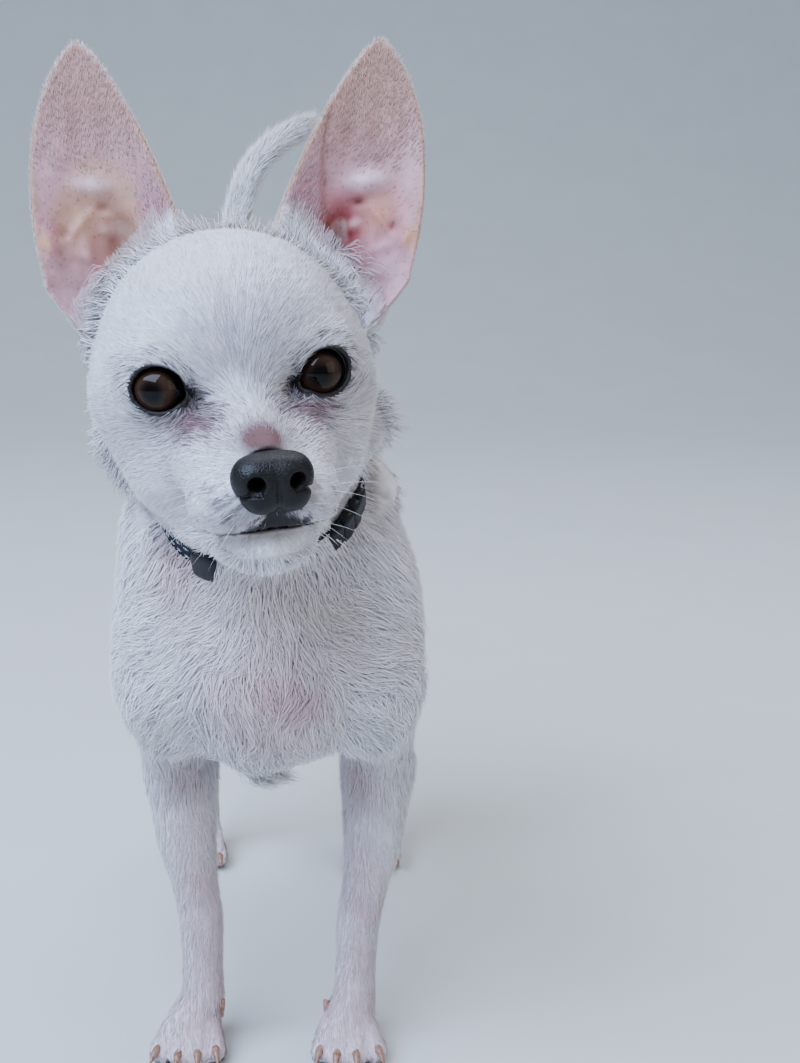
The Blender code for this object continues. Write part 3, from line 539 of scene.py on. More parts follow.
def net_points(field, low, high, step):
    """Samples a field near its surface and joins one point in each crossed cell into quads."""
    low = np.asarray(low, dtype=float)
    blocks = np.ceil((np.asarray(high) - low) / (step * COARSE)).astype(int)
    coarse_axes = [low[i] + (np.arange(blocks[i]) + 0.5) * step * COARSE for i in range(3)]
    centres = np.stack(np.meshgrid(*coarse_axes, indexing="ij"), -1).reshape(-1, 3)
    middle = field(centres)
    near = np.abs(middle) < step * COARSE * 1.15
    values = np.repeat(np.repeat(np.repeat(
        np.sign(middle).reshape(blocks) * 50.0, COARSE, 0), COARSE, 1), COARSE, 2).astype(np.float32)
    offsets = np.stack(np.meshgrid(*[np.arange(COARSE)] * 3, indexing="ij"), -1).reshape(-1, 3)
    corner = np.stack(np.unravel_index(np.flatnonzero(near), blocks), 1) * COARSE
    for start in range(0, len(corner), BLOCKS_AT_ONCE):
        index = (corner[start : start + BLOCKS_AT_ONCE, None, :] + offsets[None]).reshape(-1, 3)
        values[tuple(index.T)] = field(low + (index + 0.5) * step)

    inside = values < 0
    shape = np.array(values.shape) - 1
    corners = [(i, j, k) for i in (0, 1) for j in (0, 1) for k in (0, 1)]
    count = sum(inside[i : i + shape[0], j : j + shape[1], k : k + shape[2]].astype(np.uint8)
                for i, j, k in corners)
    cells = np.stack(np.nonzero((count > 0) & (count < 8)), 1)
    number = np.full(shape, -1, dtype=np.int64)
    number[tuple(cells.T)] = np.arange(len(cells))
    total = np.zeros((len(cells), 3))
    crossings = np.zeros(len(cells))
    for c in corners:
        for axis in range(3):
            if c[axis]:
                continue
            start = cells + c
            end = start.copy()
            end[:, axis] += 1
            va, vb = values[tuple(start.T)], values[tuple(end.T)]
            cross = (va < 0) != (vb < 0)
            point = start[cross].astype(float)
            point[:, axis] += va[cross] / (va[cross] - vb[cross])
            total[cross] += point
            crossings[cross] += 1
    points = low + (total / crossings[:, None] + 0.5) * step
    quads = []
    for axis in range(3):
        one, two = (axis + 1) % 3, (axis + 2) % 3
        start = np.stack(np.nonzero(np.take(inside, range(shape[axis]), axis)
                                    != np.take(inside, range(1, shape[axis] + 1), axis)), 1)
        aside = start[:, [one, two]]
        start = start[np.all((aside > 0) & (aside < shape[[one, two]]), axis=1)]
        ring = []
        for d_one, d_two in ((1, 1), (0, 1), (0, 0), (1, 0)):
            cell = start.copy()
            cell[:, one] -= d_one
            cell[:, two] -= d_two
            ring.append(number[tuple(cell.T)])
        ring = np.stack(ring, 1)
        flip = ~inside[tuple(start.T)]
        ring[flip] = ring[flip][:, ::-1]
        quads.append(ring)
    return points, np.concatenate(quads)


MM = 0.001
ORIGIN_SHIFT = np.array([10.5, 4.2, 0.0])


def in_frame(points):
    """From the forms' millimetres to the frame's metres."""
    return (points + ORIGIN_SHIFT) * MM


def mesh_from(name, points, faces):
    """A smooth-shaded mesh of faces that all have the same number of corners."""
    mesh = bpy.data.meshes.new(name)
    corners = faces.shape[1]
    mesh.vertices.add(len(points))
    mesh.vertices.foreach_set("co", np.ascontiguousarray(points, dtype=np.float32).ravel())
    mesh.loops.add(faces.size)
    mesh.loops.foreach_set("vertex_index", np.ascontiguousarray(faces, dtype=np.int32).ravel())
    mesh.polygons.add(len(faces))
    mesh.polygons.foreach_set("loop_start", np.arange(0, faces.size, corners, dtype=np.int32))
    mesh.update(calc_edges=True)
    mesh.shade_smooth()
    return mesh


def mesh_of(name, forms):
    """A smooth-shaded mesh of several closed forms, each given as points and faces."""
    points, faces = [], []
    for form_points, form_faces in forms:
        start = len(points)
        points += in_frame(np.asarray(form_points)).tolist()
        faces += [tuple(index + start for index in face) for face in form_faces]
    mesh = bpy.data.meshes.new(name)
    mesh.from_pydata(points, [], faces)
    mesh.shade_smooth()
    return mesh


def add_piece(name, mesh, material):
    """A mesh as an object at the origin, with its material."""
    item = bpy.data.objects.new(name, mesh)
    bpy.context.scene.collection.objects.link(item)
    mesh.materials.append(material)
    return item


def linear(code):
    """An sRGB hex colour as linear red, green and blue."""
    channels = np.array([int(code[i : i + 2], 16) for i in (1, 3, 5)]) / 255.0
    return np.where(channels <= 0.04045, channels / 12.92, ((channels + 0.055) / 1.055) ** 2.4)


def paint_points(mesh, colours):
    """Stores a colour at each point, as the attribute that the materials read."""
    layer = mesh.color_attributes.new("tint", "FLOAT_COLOR", "POINT")
    opaque = np.hstack([colours, np.ones((len(colours), 1))])
    layer.data.foreach_set("color", opaque.astype(np.float32).ravel())


def give(tree, node, **inputs):
    """Gives each input of a node, told by its name or number, a value or another node's output."""
    for name, value in inputs.items():
        numbered = name.startswith("input")
        socket = node.inputs[int(name[5:]) if numbered else name.replace("_", " ")]
        if isinstance(value, bpy.types.NodeSocket):
            tree.links.new(value, socket)
        else:
            socket.default_value = value


def add_node(tree, kind, settings=None, tones=(), **inputs):
    """Adds a node with its settings and inputs, and a ramp's tones as positions and colours."""
    made = tree.nodes.new(kind)
    for name, value in (settings or {}).items():
        setattr(made, name, value)
    if tones:
        elements = made.color_ramp.elements
        while len(elements) < len(tones):
            elements.new(0.5)
        for element, (position, code) in zip(elements, tones):
            element.position = position
            element.color = (*linear(code), 1.0)
    give(tree, made, **inputs)
    return made


def new_finish(name):
    """An empty material, with its node tree and Principled shader."""
    material = bpy.data.materials.new(name)
    material.use_nodes = True
    return material, material.node_tree, material.node_tree.nodes["Principled BSDF"]


def per_mm(size):
    """The scale at which a pattern on Object coordinates repeats each so many millimetres."""
    return 1000.0 / size


def blend_in(colours, code, amount):
    """Colours moved towards one colour by an amount at each place."""
    return colours + (linear(code) - colours) * np.clip(amount, 0.0, 1.0)[:, None]


def ripple(p, size, seed):
    """A slow waver over the body, about -1 to 1, whose waves are size mm long."""
    rng = np.random.default_rng(seed)
    total = np.zeros(len(p))
    for _ in range(5):
        total += np.sin(p @ (rng.normal(0, 1, 3) * 2.2 / size) + rng.uniform(0, 6.3))
    return total / 2.6


def inner_ear(p, side):
    """How far a place lies inside an ear's hollow, 0 to 1, with its places up and across the ear."""
    s, across, height, edge = ear_places(p, side)
    ahead, behind = ear_heights(s, across)
    inside = rise(height - (ahead - behind) / 2, 0.0, 0.5) * rise(-height, -12.0, -9.0)
    inside = inside * rise(s - border_of_ear(across), -0.08, -0.01) * rise(-edge, -2.0, 0.3)
    return inside, s, across, height


def black_lip(q, wider=0.0):
    """The naked black skin under the nose, down to the line of the mouth, with a ragged soft edge."""
    x, y, z = q.T
    half = 5.6 + wider + 6.4 * rise(-z, 31.5, 37.0) + 1.8 * ripple(q, 3.2, 21)
    sides = rise(half - np.abs(x - 2.0), -2.0, 2.5)
    above_mouth = rise(z, mouth_height(y) - 1.2, mouth_height(y) + 0.3)
    return sides * rise(-y, 26.0, 33.0) * rise(-z, 27.5, 31.0) * above_mouth


MUZZLE_Z = -20.0
MUZZLE_RADIUS = 17.0
WHISKER_DOTS = [(-22, -29, -26), (-18, -40, -27), (-12, -43, -30), (-15, -37, -23), (-19, -34, -31),
                (-14, -41, -26), (-24, -26, -30), (-10, -42, -25), (-21, -34, -24), (-16, -36, -34),
                (-22, -28, -34), (-11, -41, -34), (15, -37, -26), (19, -32, -29), (17, -36, -33)]


def whisker_dots(q, size):
    """The dark dots that whiskers grow from, told by their place along the muzzle and round it."""
    round_it = np.arctan2(q[:, 0], MUZZLE_Z - q[:, 2]) * MUZZLE_RADIUS
    amount = np.zeros(len(q))
    for x, y, z in WHISKER_DOTS:
        aside = math.atan2(x, MUZZLE_Z - z) * MUZZLE_RADIUS
        amount = np.maximum(amount, spot(np.stack([round_it, q[:, 1]], 1), (aside, y), (size, size)))
    return amount * (q[:, 1] < -15.0) * (q[:, 2] < -18.0)


def dusky_skin(q, side):
    """The thinly haired, dusky pink skin below an eye, from its inner corner outwards."""
    middle = (-17.0, -6.0, -10.0) if side < 0 else (20.5, -6.0, -10.5)
    return spot(q, middle, (14.5, 14.0, 5.6))


def armpit(p):
    """The thinly haired folds where the forelegs leave the chest."""
    return np.maximum(spot(p, (-33.5, -74, 112), (9, 26, 13)), spot(p, (30.5, -74, 112), (9, 26, 13)))


# Stains of the hide, each with its colour, strength, middle and reach: first the blushes of the chest, then
# those of the brow, of the bald patch over the nose and of the grey lips, which lie in the head's frame
CHEST_STAINS = [
    ("#C4868C", 1.1, (4, -112, 160), (24, 30, 26)), ("#CF9A9C", 0.8, (-30, -104, 204), (13, 24, 18)),
    ("#D9B2A8", 0.5, (10, -110, 200), (20, 24, 14)),
]
FACE_STAINS = [
    ("#B4A6B2", 0.55, (0, 0, 16), (17, 20, 15)), ("#633F3E", 1.7, (1.0, -35, -8.0), (11.6, 10, 5.8)),
    ("#3E3033", 0.95, (1.0, -41, -12.6), (10, 6, 2.0)), ("#5E474B", 0.7, (1.0, -28, -5.5), (8, 4, 3)),
    ("#8E8791", 0.8, (-10, -37, -31), (10, 12, 6)), ("#8E8791", 0.7, (11, -37, -31), (8, 12, 6)),
]
EYE_CORNER = np.array([16.4, -3.0, -3.4])
# Marks inside an ear: colour, strength, middle and reach along it, middle and reach across it. The first two
# are red skin darkened with painted shade in the hollow, the next two painted shade in its dents, the next
# two painted highlights on its ridges, and the last the tan of its pouch.
EAR_MARKS_AND_PAINTED_LIGHT = [("#8A3335", 1.5, 0.17, 0.13, -0.13, 0.27), ("#5E171A", 1.4, 0.11, 0.065, -0.17, 0.21),
              ("#6F3524", 1.0, 0.315, 0.016, 0.05, 0.09), ("#6F3524", 0.7, 0.205, 0.014, 0.61, 0.04),
              ("#EACBD4", 0.95, 0.405, 0.035, 0.08, 0.24), ("#D9A8A4", 0.7, 0.225, 0.022, 0.05, 0.10),
              ("#C08A58", 0.85, 0.15, 0.045, 0.88, 0.10)]
# How strongly each ear turns tan towards its tip; the dog's left ear takes more, as painted warm light
EAR_TAN_AND_WARM_LIGHT = {-1: 0.65, 1: 0.9}


def stained(colours, p, stains, patchy=1.0):
    """Colours with stains laid over them in turn."""
    for code, strength, middle, reach in stains:
        colours = blend_in(colours, code, patchy * strength * spot(p, middle, reach))
    return colours


def ear_tint(colours, p, side):
    """Lays an ear's colours on: pink inside, red in the hollow, tan towards the tip, freckles and edge, with
    painted shade in the hollow and dents, painted highlights on the ridges and painted warm light on the
    dog's left ear.
    """
    ear_near = p[:, 2] > EAR_BASE[1][2] - 30
    inside, s, across, height = inner_ear(p, side)
    inside = inside * ear_near
    colours = blend_in(colours, "#B98A8C", inside)
    colours = blend_in(colours, "#B56F73", inside * 0.7 * rise(-s, -0.42, -0.28))
    colours = blend_in(colours, "#C79AA6", inside * 0.8 * rise(-s, -0.22, 0.0) * rise(across, 0.1, 0.5))
    colours = blend_in(colours, "#BC8360", inside * 0.75 * hill(s, 0.27, 0.08) * hill(across, 0.38, 0.25))
    # Tan towards the tip, stronger on the dog's left ear, whose extra warmth is painted warm light
    colours = blend_in(colours, "#AC8270", inside * EAR_TAN_AND_WARM_LIGHT[side] * rise(s, 0.42, 0.8))
    colours = blend_in(colours, "#CFA2A8", inside * 0.7 * rise(across, 0.5, 0.8) * hill(s, 0.45, 0.25))
    # Red skin and painted shade in the hollow, painted shade in the dents, painted highlights on the ridges,
    # tan pouch
    for code, strength, middle, reach, aside, aside_reach in EAR_MARKS_AND_PAINTED_LIGHT:
        amount = inside * strength * hill(s, middle, reach) * hill(across, aside, aside_reach)
        colours = blend_in(colours, code, amount)
    freckles = rise(ripple(p, 2.6, 31), 0.45, 0.8) * hill(s, 0.50, 0.10) * hill(across, 0.25, 0.30)
    colours = blend_in(colours, "#7A4B3C", inside * 0.6 * freckles)
    roll = rise(ear_fold_edge(s) - across, -0.1, 0.1)
    colours = blend_in(colours, "#A8737A", inside * 0.75 * roll * rise(-s, -0.6, -0.3))
    thin_edge = rise(np.abs(across), 0.86, 0.97) * hill(s, 0.4, 0.45) * rise(-np.abs(height), -5.0, -2.5)
    colours = blend_in(colours, "#B98E74", 0.8 * ear_near * thin_edge)
    outer_back = rise(-height, 0.3, 1.0) * rise(-np.abs(height), -6, -3) * rise(s, 0.05, 0.3) * ear_near
    return blend_in(colours, "#D8C2B8", 0.5 * outer_back)


def skin_tint(p):
    """The hide's colour: pink where it is bare, white under the coat, black at lids and lips, with painted
    shade in the armpits and the ears' hollows and dents, and painted highlights on the ears' ridges.
    """
    q = in_head(p)
    patchy = 0.75 + 0.25 * ripple(p, 14.0, 9)
    colours = stained(np.tile(linear("#E9E5E8"), (len(p), 1)), p, CHEST_STAINS, patchy)
    # Armpits: thinly haired pink skin, made darker and browner with painted shade in the folds
    colours = blend_in(colours, "#A8736E", 0.95 * armpit(p))
    for side in (-1, 1):
        hind = REAR_SHIFT + side * 42
        colours = stained(colours, p, [("#CFA0A6", 0.8, (side * 28, -66, 10), (22, 26, 24))])
        colours = stained(colours, p, [("#C99CA6", 0.85, (side * 30, -66, 62), (12, 20, 42))], patchy)
        colours = stained(colours, p, [("#DDB3AE", 0.6, (hind, 100, 10), (22, 26, 24)),
                                       ("#C9A2A0", 0.6, (hind - side * 30, 70, 125), (16, 40, 26))])
        colours = blend_in(colours, "#8F676A", 1.1 * dusky_skin(q, side))
        colours = stained(colours, q, [("#54413F", 0.8, EYE_CORNER * (side, 1, 1), (2.6, 9, 3.0))])
    colours = stained(colours, q, FACE_STAINS)
    colours = blend_in(colours, "#322D38", 0.9 * whisker_dots(q, 0.9))
    below = q[:, 2] - mouth_height(q[:, 1])
    colours = blend_in(colours, "#9C8F8C", 0.8 * hill(below, -2.2, 1.6) * rise(-q[:, 1], 14.0, 24.0))
    colours = blend_in(colours, "#2A2020", 1.1 * hill(below, 0.1, 0.8) * rise(-q[:, 1], 12.0, 20.0))
    colours = blend_in(colours, "#171214", black_lip(q))
    for side in (-1, 1):
        ball, u, v, out = eye_places(q, side)
        rim = rise(-lid_opening(u, v), -2.7 - 0.7 * rise(-u, 2.0, 8.0), -1.3) * rise(-ball, -4.6, -3.4)
        colours = blend_in(colours, "#17110F", rim * (out > 0))
    for side in (-1, 1):
        colours = ear_tint(colours, p, side)
    return blend_in(colours, "#3C3233", rise(-p[:, 2], -3.2, -1.5))


HEAD_GRID = 0.8
BODY_GRID = 1.65
COLLAR_OVERLAP = 1.5
HEAD_BOX = ((-95, -200, 196), (78, -18, 394))
BODY_BOX = ((-88, -130, -4), (72, 186, 374))
head_points, head_quads = net_points(
    lambda p: np.maximum(body_skin(p), -COLLAR_OVERLAP - over_collar(p)), *HEAD_BOX, HEAD_GRID)
body_points, body_quads = net_points(
    lambda p: np.maximum(body_skin(p), over_collar(p) - COLLAR_OVERLAP), *BODY_BOX, BODY_GRID)
skin_points = np.vstack([head_points, body_points])
skin_quads = np.vstack([head_quads, body_quads + len(head_points)])

# Hide: naked skin is faintly glossy, pored and soft, and light goes a little way into it. Its pores are
# drawn 0.7 mm apart, a little coarse, so that they show.
hide, tree, shader = new_finish("hide")
place = add_node(tree, "ShaderNodeTexCoord").outputs["Object"]
tint = add_node(tree, "ShaderNodeAttribute", {"attribute_name": "tint"}).outputs["Color"]
blotches = add_node(tree, "ShaderNodeTexNoise", Vector=place, Scale=per_mm(5.0), Detail=5.0, Roughness=0.6)
specks = add_node(tree, "ShaderNodeTexVoronoi", {"feature": "F1"}, Vector=place, Scale=per_mm(2.6),
                  Randomness=1.0)
speck = add_node(tree, "ShaderNodeMapRange", Value=specks.outputs["Distance"], From_Min=0.10, From_Max=0.28,
                 To_Min=0.75, To_Max=1.0)
shade = add_node(tree, "ShaderNodeMapRange", Value=blotches.outputs["Fac"], From_Min=0.3, From_Max=0.7,
                 To_Min=0.82, To_Max=1.08)
both = add_node(tree, "ShaderNodeMath", {"operation": "MULTIPLY"}, input0=speck.outputs[0],
                input1=shade.outputs[0])
mixed = add_node(tree, "ShaderNodeVectorMath", {"operation": "SCALE"}, input0=tint, Scale=both.outputs[0])
pores = add_node(tree, "ShaderNodeTexNoise", Vector=place, Scale=per_mm(0.7), Detail=4.0, Roughness=0.65)
relief = add_node(tree, "ShaderNodeBump", Height=pores.outputs["Fac"], Strength=0.35, Distance=0.25 * MM)
give(tree, shader, Base_Color=mixed.outputs[0], Normal=relief.outputs[0], Roughness=0.58,
     Specular_IOR_Level=0.35, Subsurface_Weight=0.10, Subsurface_Radius=(0.0018, 0.0007, 0.0004),
     Subsurface_Scale=1.0)

skin_mesh = mesh_from("skin", in_frame(skin_points), skin_quads)
paint_points(skin_mesh, skin_tint(skin_points))
skin = add_piece("skin", skin_mesh, hide)
skin_normals = np.zeros(len(skin_points) * 3, dtype=np.float32)
skin_mesh.vertex_normals.foreach_get("vector", skin_normals)
skin_normals = skin_normals.reshape(-1, 3).astype(float)

# The hide's flats need fewer faces than its lids, lips and ears
SKIN_TRIANGLES = 195000
thinning = skin.modifiers.new("thinning", "DECIMATE")
thinning.ratio = min(1.0, SKIN_TRIANGLES / (2.0 * len(skin_quads)))
skin.data = bpy.data.meshes.new_from_object(skin.evaluated_get(bpy.context.evaluated_depsgraph_get()))
skin.modifiers.clear()
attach(skin, "root")
flesh = [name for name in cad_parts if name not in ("eye_left", "eye_right", "nose", "collar")]
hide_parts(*flesh)

skin_bvh = BVHTree.FromPolygons(skin_points.tolist(), skin_quads.tolist())

# Eyes. Each is a moist ball set deep between the lids: a dark brown iris with fine spokes round a wide
# pupil, under a clear bulging cornea. It is turned as one closed form, its cornea a little prouder.
IRIS_RADIUS = 7.3
PUPIL_RADIUS = 3.1
CORNEA_RISE = 0.55


def ball_mesh(name, centre, axis, radius, rings=40, sides=64):
    """A ball with its pole on the line of sight and the cornea raised there."""
    axis = Vector(axis).normalized()
    one = Vector((0, 0, 1)).cross(axis).normalized()
    two = axis.cross(one)
    points, faces = [], []
    for i in range(1, rings):
        angle = math.pi * i / rings
        swell = 0.0
        if angle < 1.5:
            swell = CORNEA_RISE * math.exp(-((radius * math.sin(angle) / IRIS_RADIUS) ** 4))
        for j in range(sides):
            turn = 2 * math.pi * j / sides
            away = axis * math.cos(angle) + (one * math.cos(turn) + two * math.sin(turn)) * math.sin(angle)
            points.append(centre + np.array(away) * (radius + swell))
    first, last = len(points), len(points) + 1
    points += [centre + np.array(axis) * (radius + CORNEA_RISE), centre - np.array(axis) * radius]
    for j in range(sides):
        k = (j + 1) % sides
        faces.append((first, j, k, k))
        faces.append((last, (rings - 2) * sides + k, (rings - 2) * sides + j, (rings - 2) * sides + j))
        for i in range(rings - 2):
            faces.append((i * sides + j, (i + 1) * sides + j, (i + 1) * sides + k, i * sides + k))
    mesh = bpy.data.meshes.new(name)
    tidy = [tuple(dict.fromkeys(face)) for face in faces]
    mesh.from_pydata(in_frame(np.array(points)).tolist(), [], tidy)
    mesh.shade_smooth()
    return mesh


def eye_finish(centre, axis):
    """Living eye: wet and mirror smooth, dark brown with a reddish edge, the pupil black."""
    material, tree, shader = new_finish("wet eye")
    place = add_node(tree, "ShaderNodeTexCoord").outputs["Object"]
    middle = tuple(in_frame(centre))
    offset = add_node(tree, "ShaderNodeVectorMath", {"operation": "SUBTRACT"}, input0=place, input1=middle)
    forward = add_node(tree, "ShaderNodeVectorMath", {"operation": "DOT_PRODUCT"}, input0=offset.outputs[0],
                       input1=tuple(axis))
    length = add_node(tree, "ShaderNodeVectorMath", {"operation": "LENGTH"}, input0=offset.outputs[0])
    squared = add_node(tree, "ShaderNodeMath", {"operation": "POWER"}, input0=length.outputs["Value"],
                       input1=2.0)
    ahead = add_node(tree, "ShaderNodeMath", {"operation": "POWER"}, input0=forward.outputs["Value"],
                     input1=2.0)
    gap = add_node(tree, "ShaderNodeMath", {"operation": "SUBTRACT"}, input0=squared.outputs[0],
                   input1=ahead.outputs[0])
    radial = add_node(tree, "ShaderNodeMath", {"operation": "SQRT"}, input0=gap.outputs[0])
    millimetres = add_node(tree, "ShaderNodeMath", {"operation": "MULTIPLY"}, input0=radial.outputs[0],
                           input1=1000.0)
    spokes = add_node(tree, "ShaderNodeTexNoise", Vector=offset.outputs[0], Scale=per_mm(1.1), Detail=6.0,
                      Roughness=0.7)
    wander = add_node(tree, "ShaderNodeMath", {"operation": "MULTIPLY_ADD"}, input0=spokes.outputs["Fac"],
                      input1=1.1, input2=-0.55)
    edge = add_node(tree, "ShaderNodeMath", {"operation": "ADD"}, input0=millimetres.outputs[0],
                    input1=wander.outputs[0])
    share = add_node(tree, "ShaderNodeMapRange", Value=edge.outputs[0], From_Min=0.0, From_Max=EYE_RADIUS)
    rings = [(PUPIL_RADIUS - 0.9, "#050303"), (PUPIL_RADIUS + 0.3, "#1D130E"),
             (PUPIL_RADIUS + 1.4, "#30211A"), (IRIS_RADIUS - 1.6, "#38271E"), (IRIS_RADIUS - 0.6, "#231610"),
             (IRIS_RADIUS + 0.2, "#0A0606"), (IRIS_RADIUS + 1.2, "#140D0C")]
    ramp = add_node(tree, "ShaderNodeValToRGB", Fac=share.outputs[0],
                    tones=[(radius / EYE_RADIUS, code) for radius, code in rings])
    give(tree, shader, Base_Color=ramp.outputs["Color"], Roughness=0.3, Specular_IOR_Level=0.0,
         Coat_Weight=0.55, Coat_Roughness=0.02, Coat_IOR=1.376)
    return material


# The eyes look past the camera, a little to the dog's right
GAZE = {-1: np.array([-0.40, -0.91, 0.02]), 1: np.array([-0.04, -1.0, 0.02])}

for side, name in ((-1, "eye_right"), (1, "eye_left")):
    middle = from_head(eye_frame(side)[0])
    sight = HEAD_TURN @ (GAZE[side] / np.linalg.norm(GAZE[side]))
    ball = ball_mesh(name, middle, sight, EYE_RADIUS)
    eye = add_piece(name + "_ball", ball, eye_finish(middle, sight))
    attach(eye, "root")
    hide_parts(name)

# Lid margins. The naked edge of each lid is a thin black, wet roll that follows the gap between the lids
# and lies on the ball, and runs out along the slit of the inner corner.
MARGIN_RADIUS = 0.62
MARGIN_POINTS = 72


def tube_points(line, radii, sides, closed):
    """Points and quads of a round tube along a line."""
    count = len(line)
    ahead = np.roll(line, -1, 0) if closed else np.vstack([line[1:], line[-1:] * 2 - line[-2:-1]])
    back = np.roll(line, 1, 0) if closed else np.vstack([line[:1] * 2 - line[1:2], line[:-1]])
    along = ahead - back
    along /= np.linalg.norm(along, axis=1)[:, None]
    side = np.cross(along[0], [0.3, 0.2, 0.93])
    rings = []
    for i in range(count):
        side = side - along[i] * (side @ along[i])
        side /= np.linalg.norm(side)
        other = np.cross(along[i], side)
        angles = np.arange(sides) * 2 * math.pi / sides
        rings.append(line[i] + (np.cos(angles)[:, None] * side + np.sin(angles)[:, None] * other) * radii[i])
    points = np.vstack(rings)
    quads = []
    for i in range(count if closed else count - 1):
        for j in range(sides):
            k, m = (j + 1) % sides, (i + 1) % count
            quads.append((i * sides + j, i * sides + k, m * sides + k, m * sides + j))
    return points, quads


def gap_line(side):
    """Places along the gap between an eye's lids, on the ball and past it at the inner corner."""
    centre, axis, outward, up = eye_frame(side)
    line, radii = [], []
    for angle in np.arange(MARGIN_POINTS) * 2 * math.pi / MARGIN_POINTS:
        ray = np.array([[math.cos(angle), math.sin(angle)]])
        reach = np.arange(4.0, 15.0, 0.05)[:, None] * ray + np.array([0.0, 0.3])
        outside = lid_opening(reach[:, 0], reach[:, 1]) > 0.25
        u, v = reach[np.argmax(outside)]
        across = math.hypot(u, v)
        limit = EYE_RADIUS - 0.4
        out = math.sqrt(EYE_RADIUS**2 - min(across, limit) ** 2) + 0.3
        place = from_head(centre + outward * u + up * v + axis * out)
        if across > limit:
            place = np.array(skin_bvh.find_nearest(Vector(place + HEAD_TURN @ axis * 2.0))[0])
        line.append(place)
        radii.append(MARGIN_RADIUS * (1.0 + 0.35 * math.sin(angle)))
    line = np.array(line)
    for _ in range(3):
        line = (np.roll(line, 1, 0) + 2 * line + np.roll(line, -1, 0)) / 4
    return line, np.array(radii)


# Wet black lid skin: dark, smooth and glossy with tears.
margin_black, tree, shader = new_finish("wet lid margin")
place = add_node(tree, "ShaderNodeTexCoord").outputs["Object"]
grain = add_node(tree, "ShaderNodeTexNoise", Vector=place, Scale=per_mm(0.9), Detail=3.0)
ramp = add_node(tree, "ShaderNodeValToRGB", Fac=grain.outputs["Fac"],
                tones=[(0.0, "#0D0908"), (1.0, "#33241F")])
give(tree, shader, Base_Color=ramp.outputs["Color"], Roughness=0.22)

for side, word in ((-1, "right"), (1, "left")):
    line, radii = gap_line(side)
    points, quads = tube_points(line, radii, 10, True)
    roll = mesh_from("lid_margin", in_frame(points), np.array(quads))
    margin = add_piece("lid_margin_" + word, roll, margin_black)
    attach(margin, "root")

# Nose leather. A bald black pad of pebbled skin, always damp, with a groove down its middle and two
# comma-shaped nostrils that run out into side slits.
NOSE_GRID = 0.38


def nose_skin(p):
    """A broad pad, flat on top, with a wing over each nostril and two lobes below the groove."""
    q = in_head(p)
    d = ellipsoid(q, NOSE_CENTRE + [0, 0, 0.6], (11.2, 8.4, 8.8))
    for side in (-1, 1):
        d = join(d, ellipsoid(q, NOSE_CENTRE + [side * 6.0, -1.5, 1.2], (6.2, 6.6, 6.4)), 3)
        d = join(d, ellipsoid(q, NOSE_CENTRE + [side * 4.6 + 0.5, -2.4, -4.9], (5.4, 5.4, 4.8)), 3)
    d = -join(-d, NOSE_CENTRE[2] + 8.6 - q[:, 2], 2.5)
    d = np.maximum(d, q[:, 1] - (NOSE_CENTRE[1] + 6.0))
    face = d.copy()
    x, y, z = (q - NOSE_CENTRE - [0.9, 0, 0]).T
    for side, out in ((-1, 6.9), (1, 7.4)):
        nostril = tapered(
            q, NOSE_CENTRE + [0.9 + side * out, -10.5, 0.1], NOSE_CENTRE + [side * 4.6, -2.0, 1.0], 2.9, 2.0)
        d = carve(d, nostril, 1.4)
        bow = z + 2.2 + 0.10 * np.square(side * x - 7.0)
        slit = np.hypot(bow, np.minimum(face + 0.6, 0.0)) - 0.7
        slit = np.maximum(slit, np.maximum(5.0 - side * x, side * x - 11.8))
        d = carve(d, slit, 0.9)
    groove = np.hypot(x, face) - 0.55
    return carve(d, np.maximum(groove, z - 1.5), 1.1)


points, quads = net_points(nose_skin, from_head(NOSE_CENTRE) - 19, from_head(NOSE_CENTRE) + 19, NOSE_GRID)

# Damp nose leather: near black, with pebbles about 1.1 mm across, drawn a little coarse, and a wet sheen.
leather, tree, shader = new_finish("damp nose leather")
place = add_node(tree, "ShaderNodeTexCoord").outputs["Object"]
pebbles = add_node(tree, "ShaderNodeTexVoronoi", {"feature": "DISTANCE_TO_EDGE"}, Vector=place,
                   Scale=per_mm(1.1))
pebble = add_node(tree, "ShaderNodeMapRange", Value=pebbles.outputs["Distance"], From_Min=0.0, From_Max=0.25)
clouds = add_node(tree, "ShaderNodeTexNoise", Vector=place, Scale=per_mm(5.0), Detail=4.0)
ramp = add_node(tree, "ShaderNodeValToRGB", Fac=clouds.outputs["Fac"],
                tones=[(0.35, "#0C0A0A"), (0.75, "#1B1716")])
relief = add_node(tree, "ShaderNodeBump", Height=pebble.outputs[0], Strength=0.35, Distance=0.2 * MM)
damp = add_node(tree, "ShaderNodeMapRange", Value=clouds.outputs["Fac"], From_Min=0.3, From_Max=0.7,
                To_Min=0.36, To_Max=0.55)
give(tree, shader, Base_Color=ramp.outputs["Color"], Normal=relief.outputs[0], Roughness=damp.outputs[0],
     Specular_IOR_Level=0.25)

nose = add_piece("nose_leather", mesh_from("nose_leather", in_frame(points), quads), leather)
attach(nose, "root")
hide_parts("nose")

# Claws. Each toe ends in a short hooked claw of layered horn, and the forelegs have a dewclaw on the inner
# side of the pastern. A claw grows from the toe's bone, so its root is sunk in the skin.
CLAW_LENGTH = 8.0
CLAW_RADIUS = 1.9
CLAW_SIDES = 14


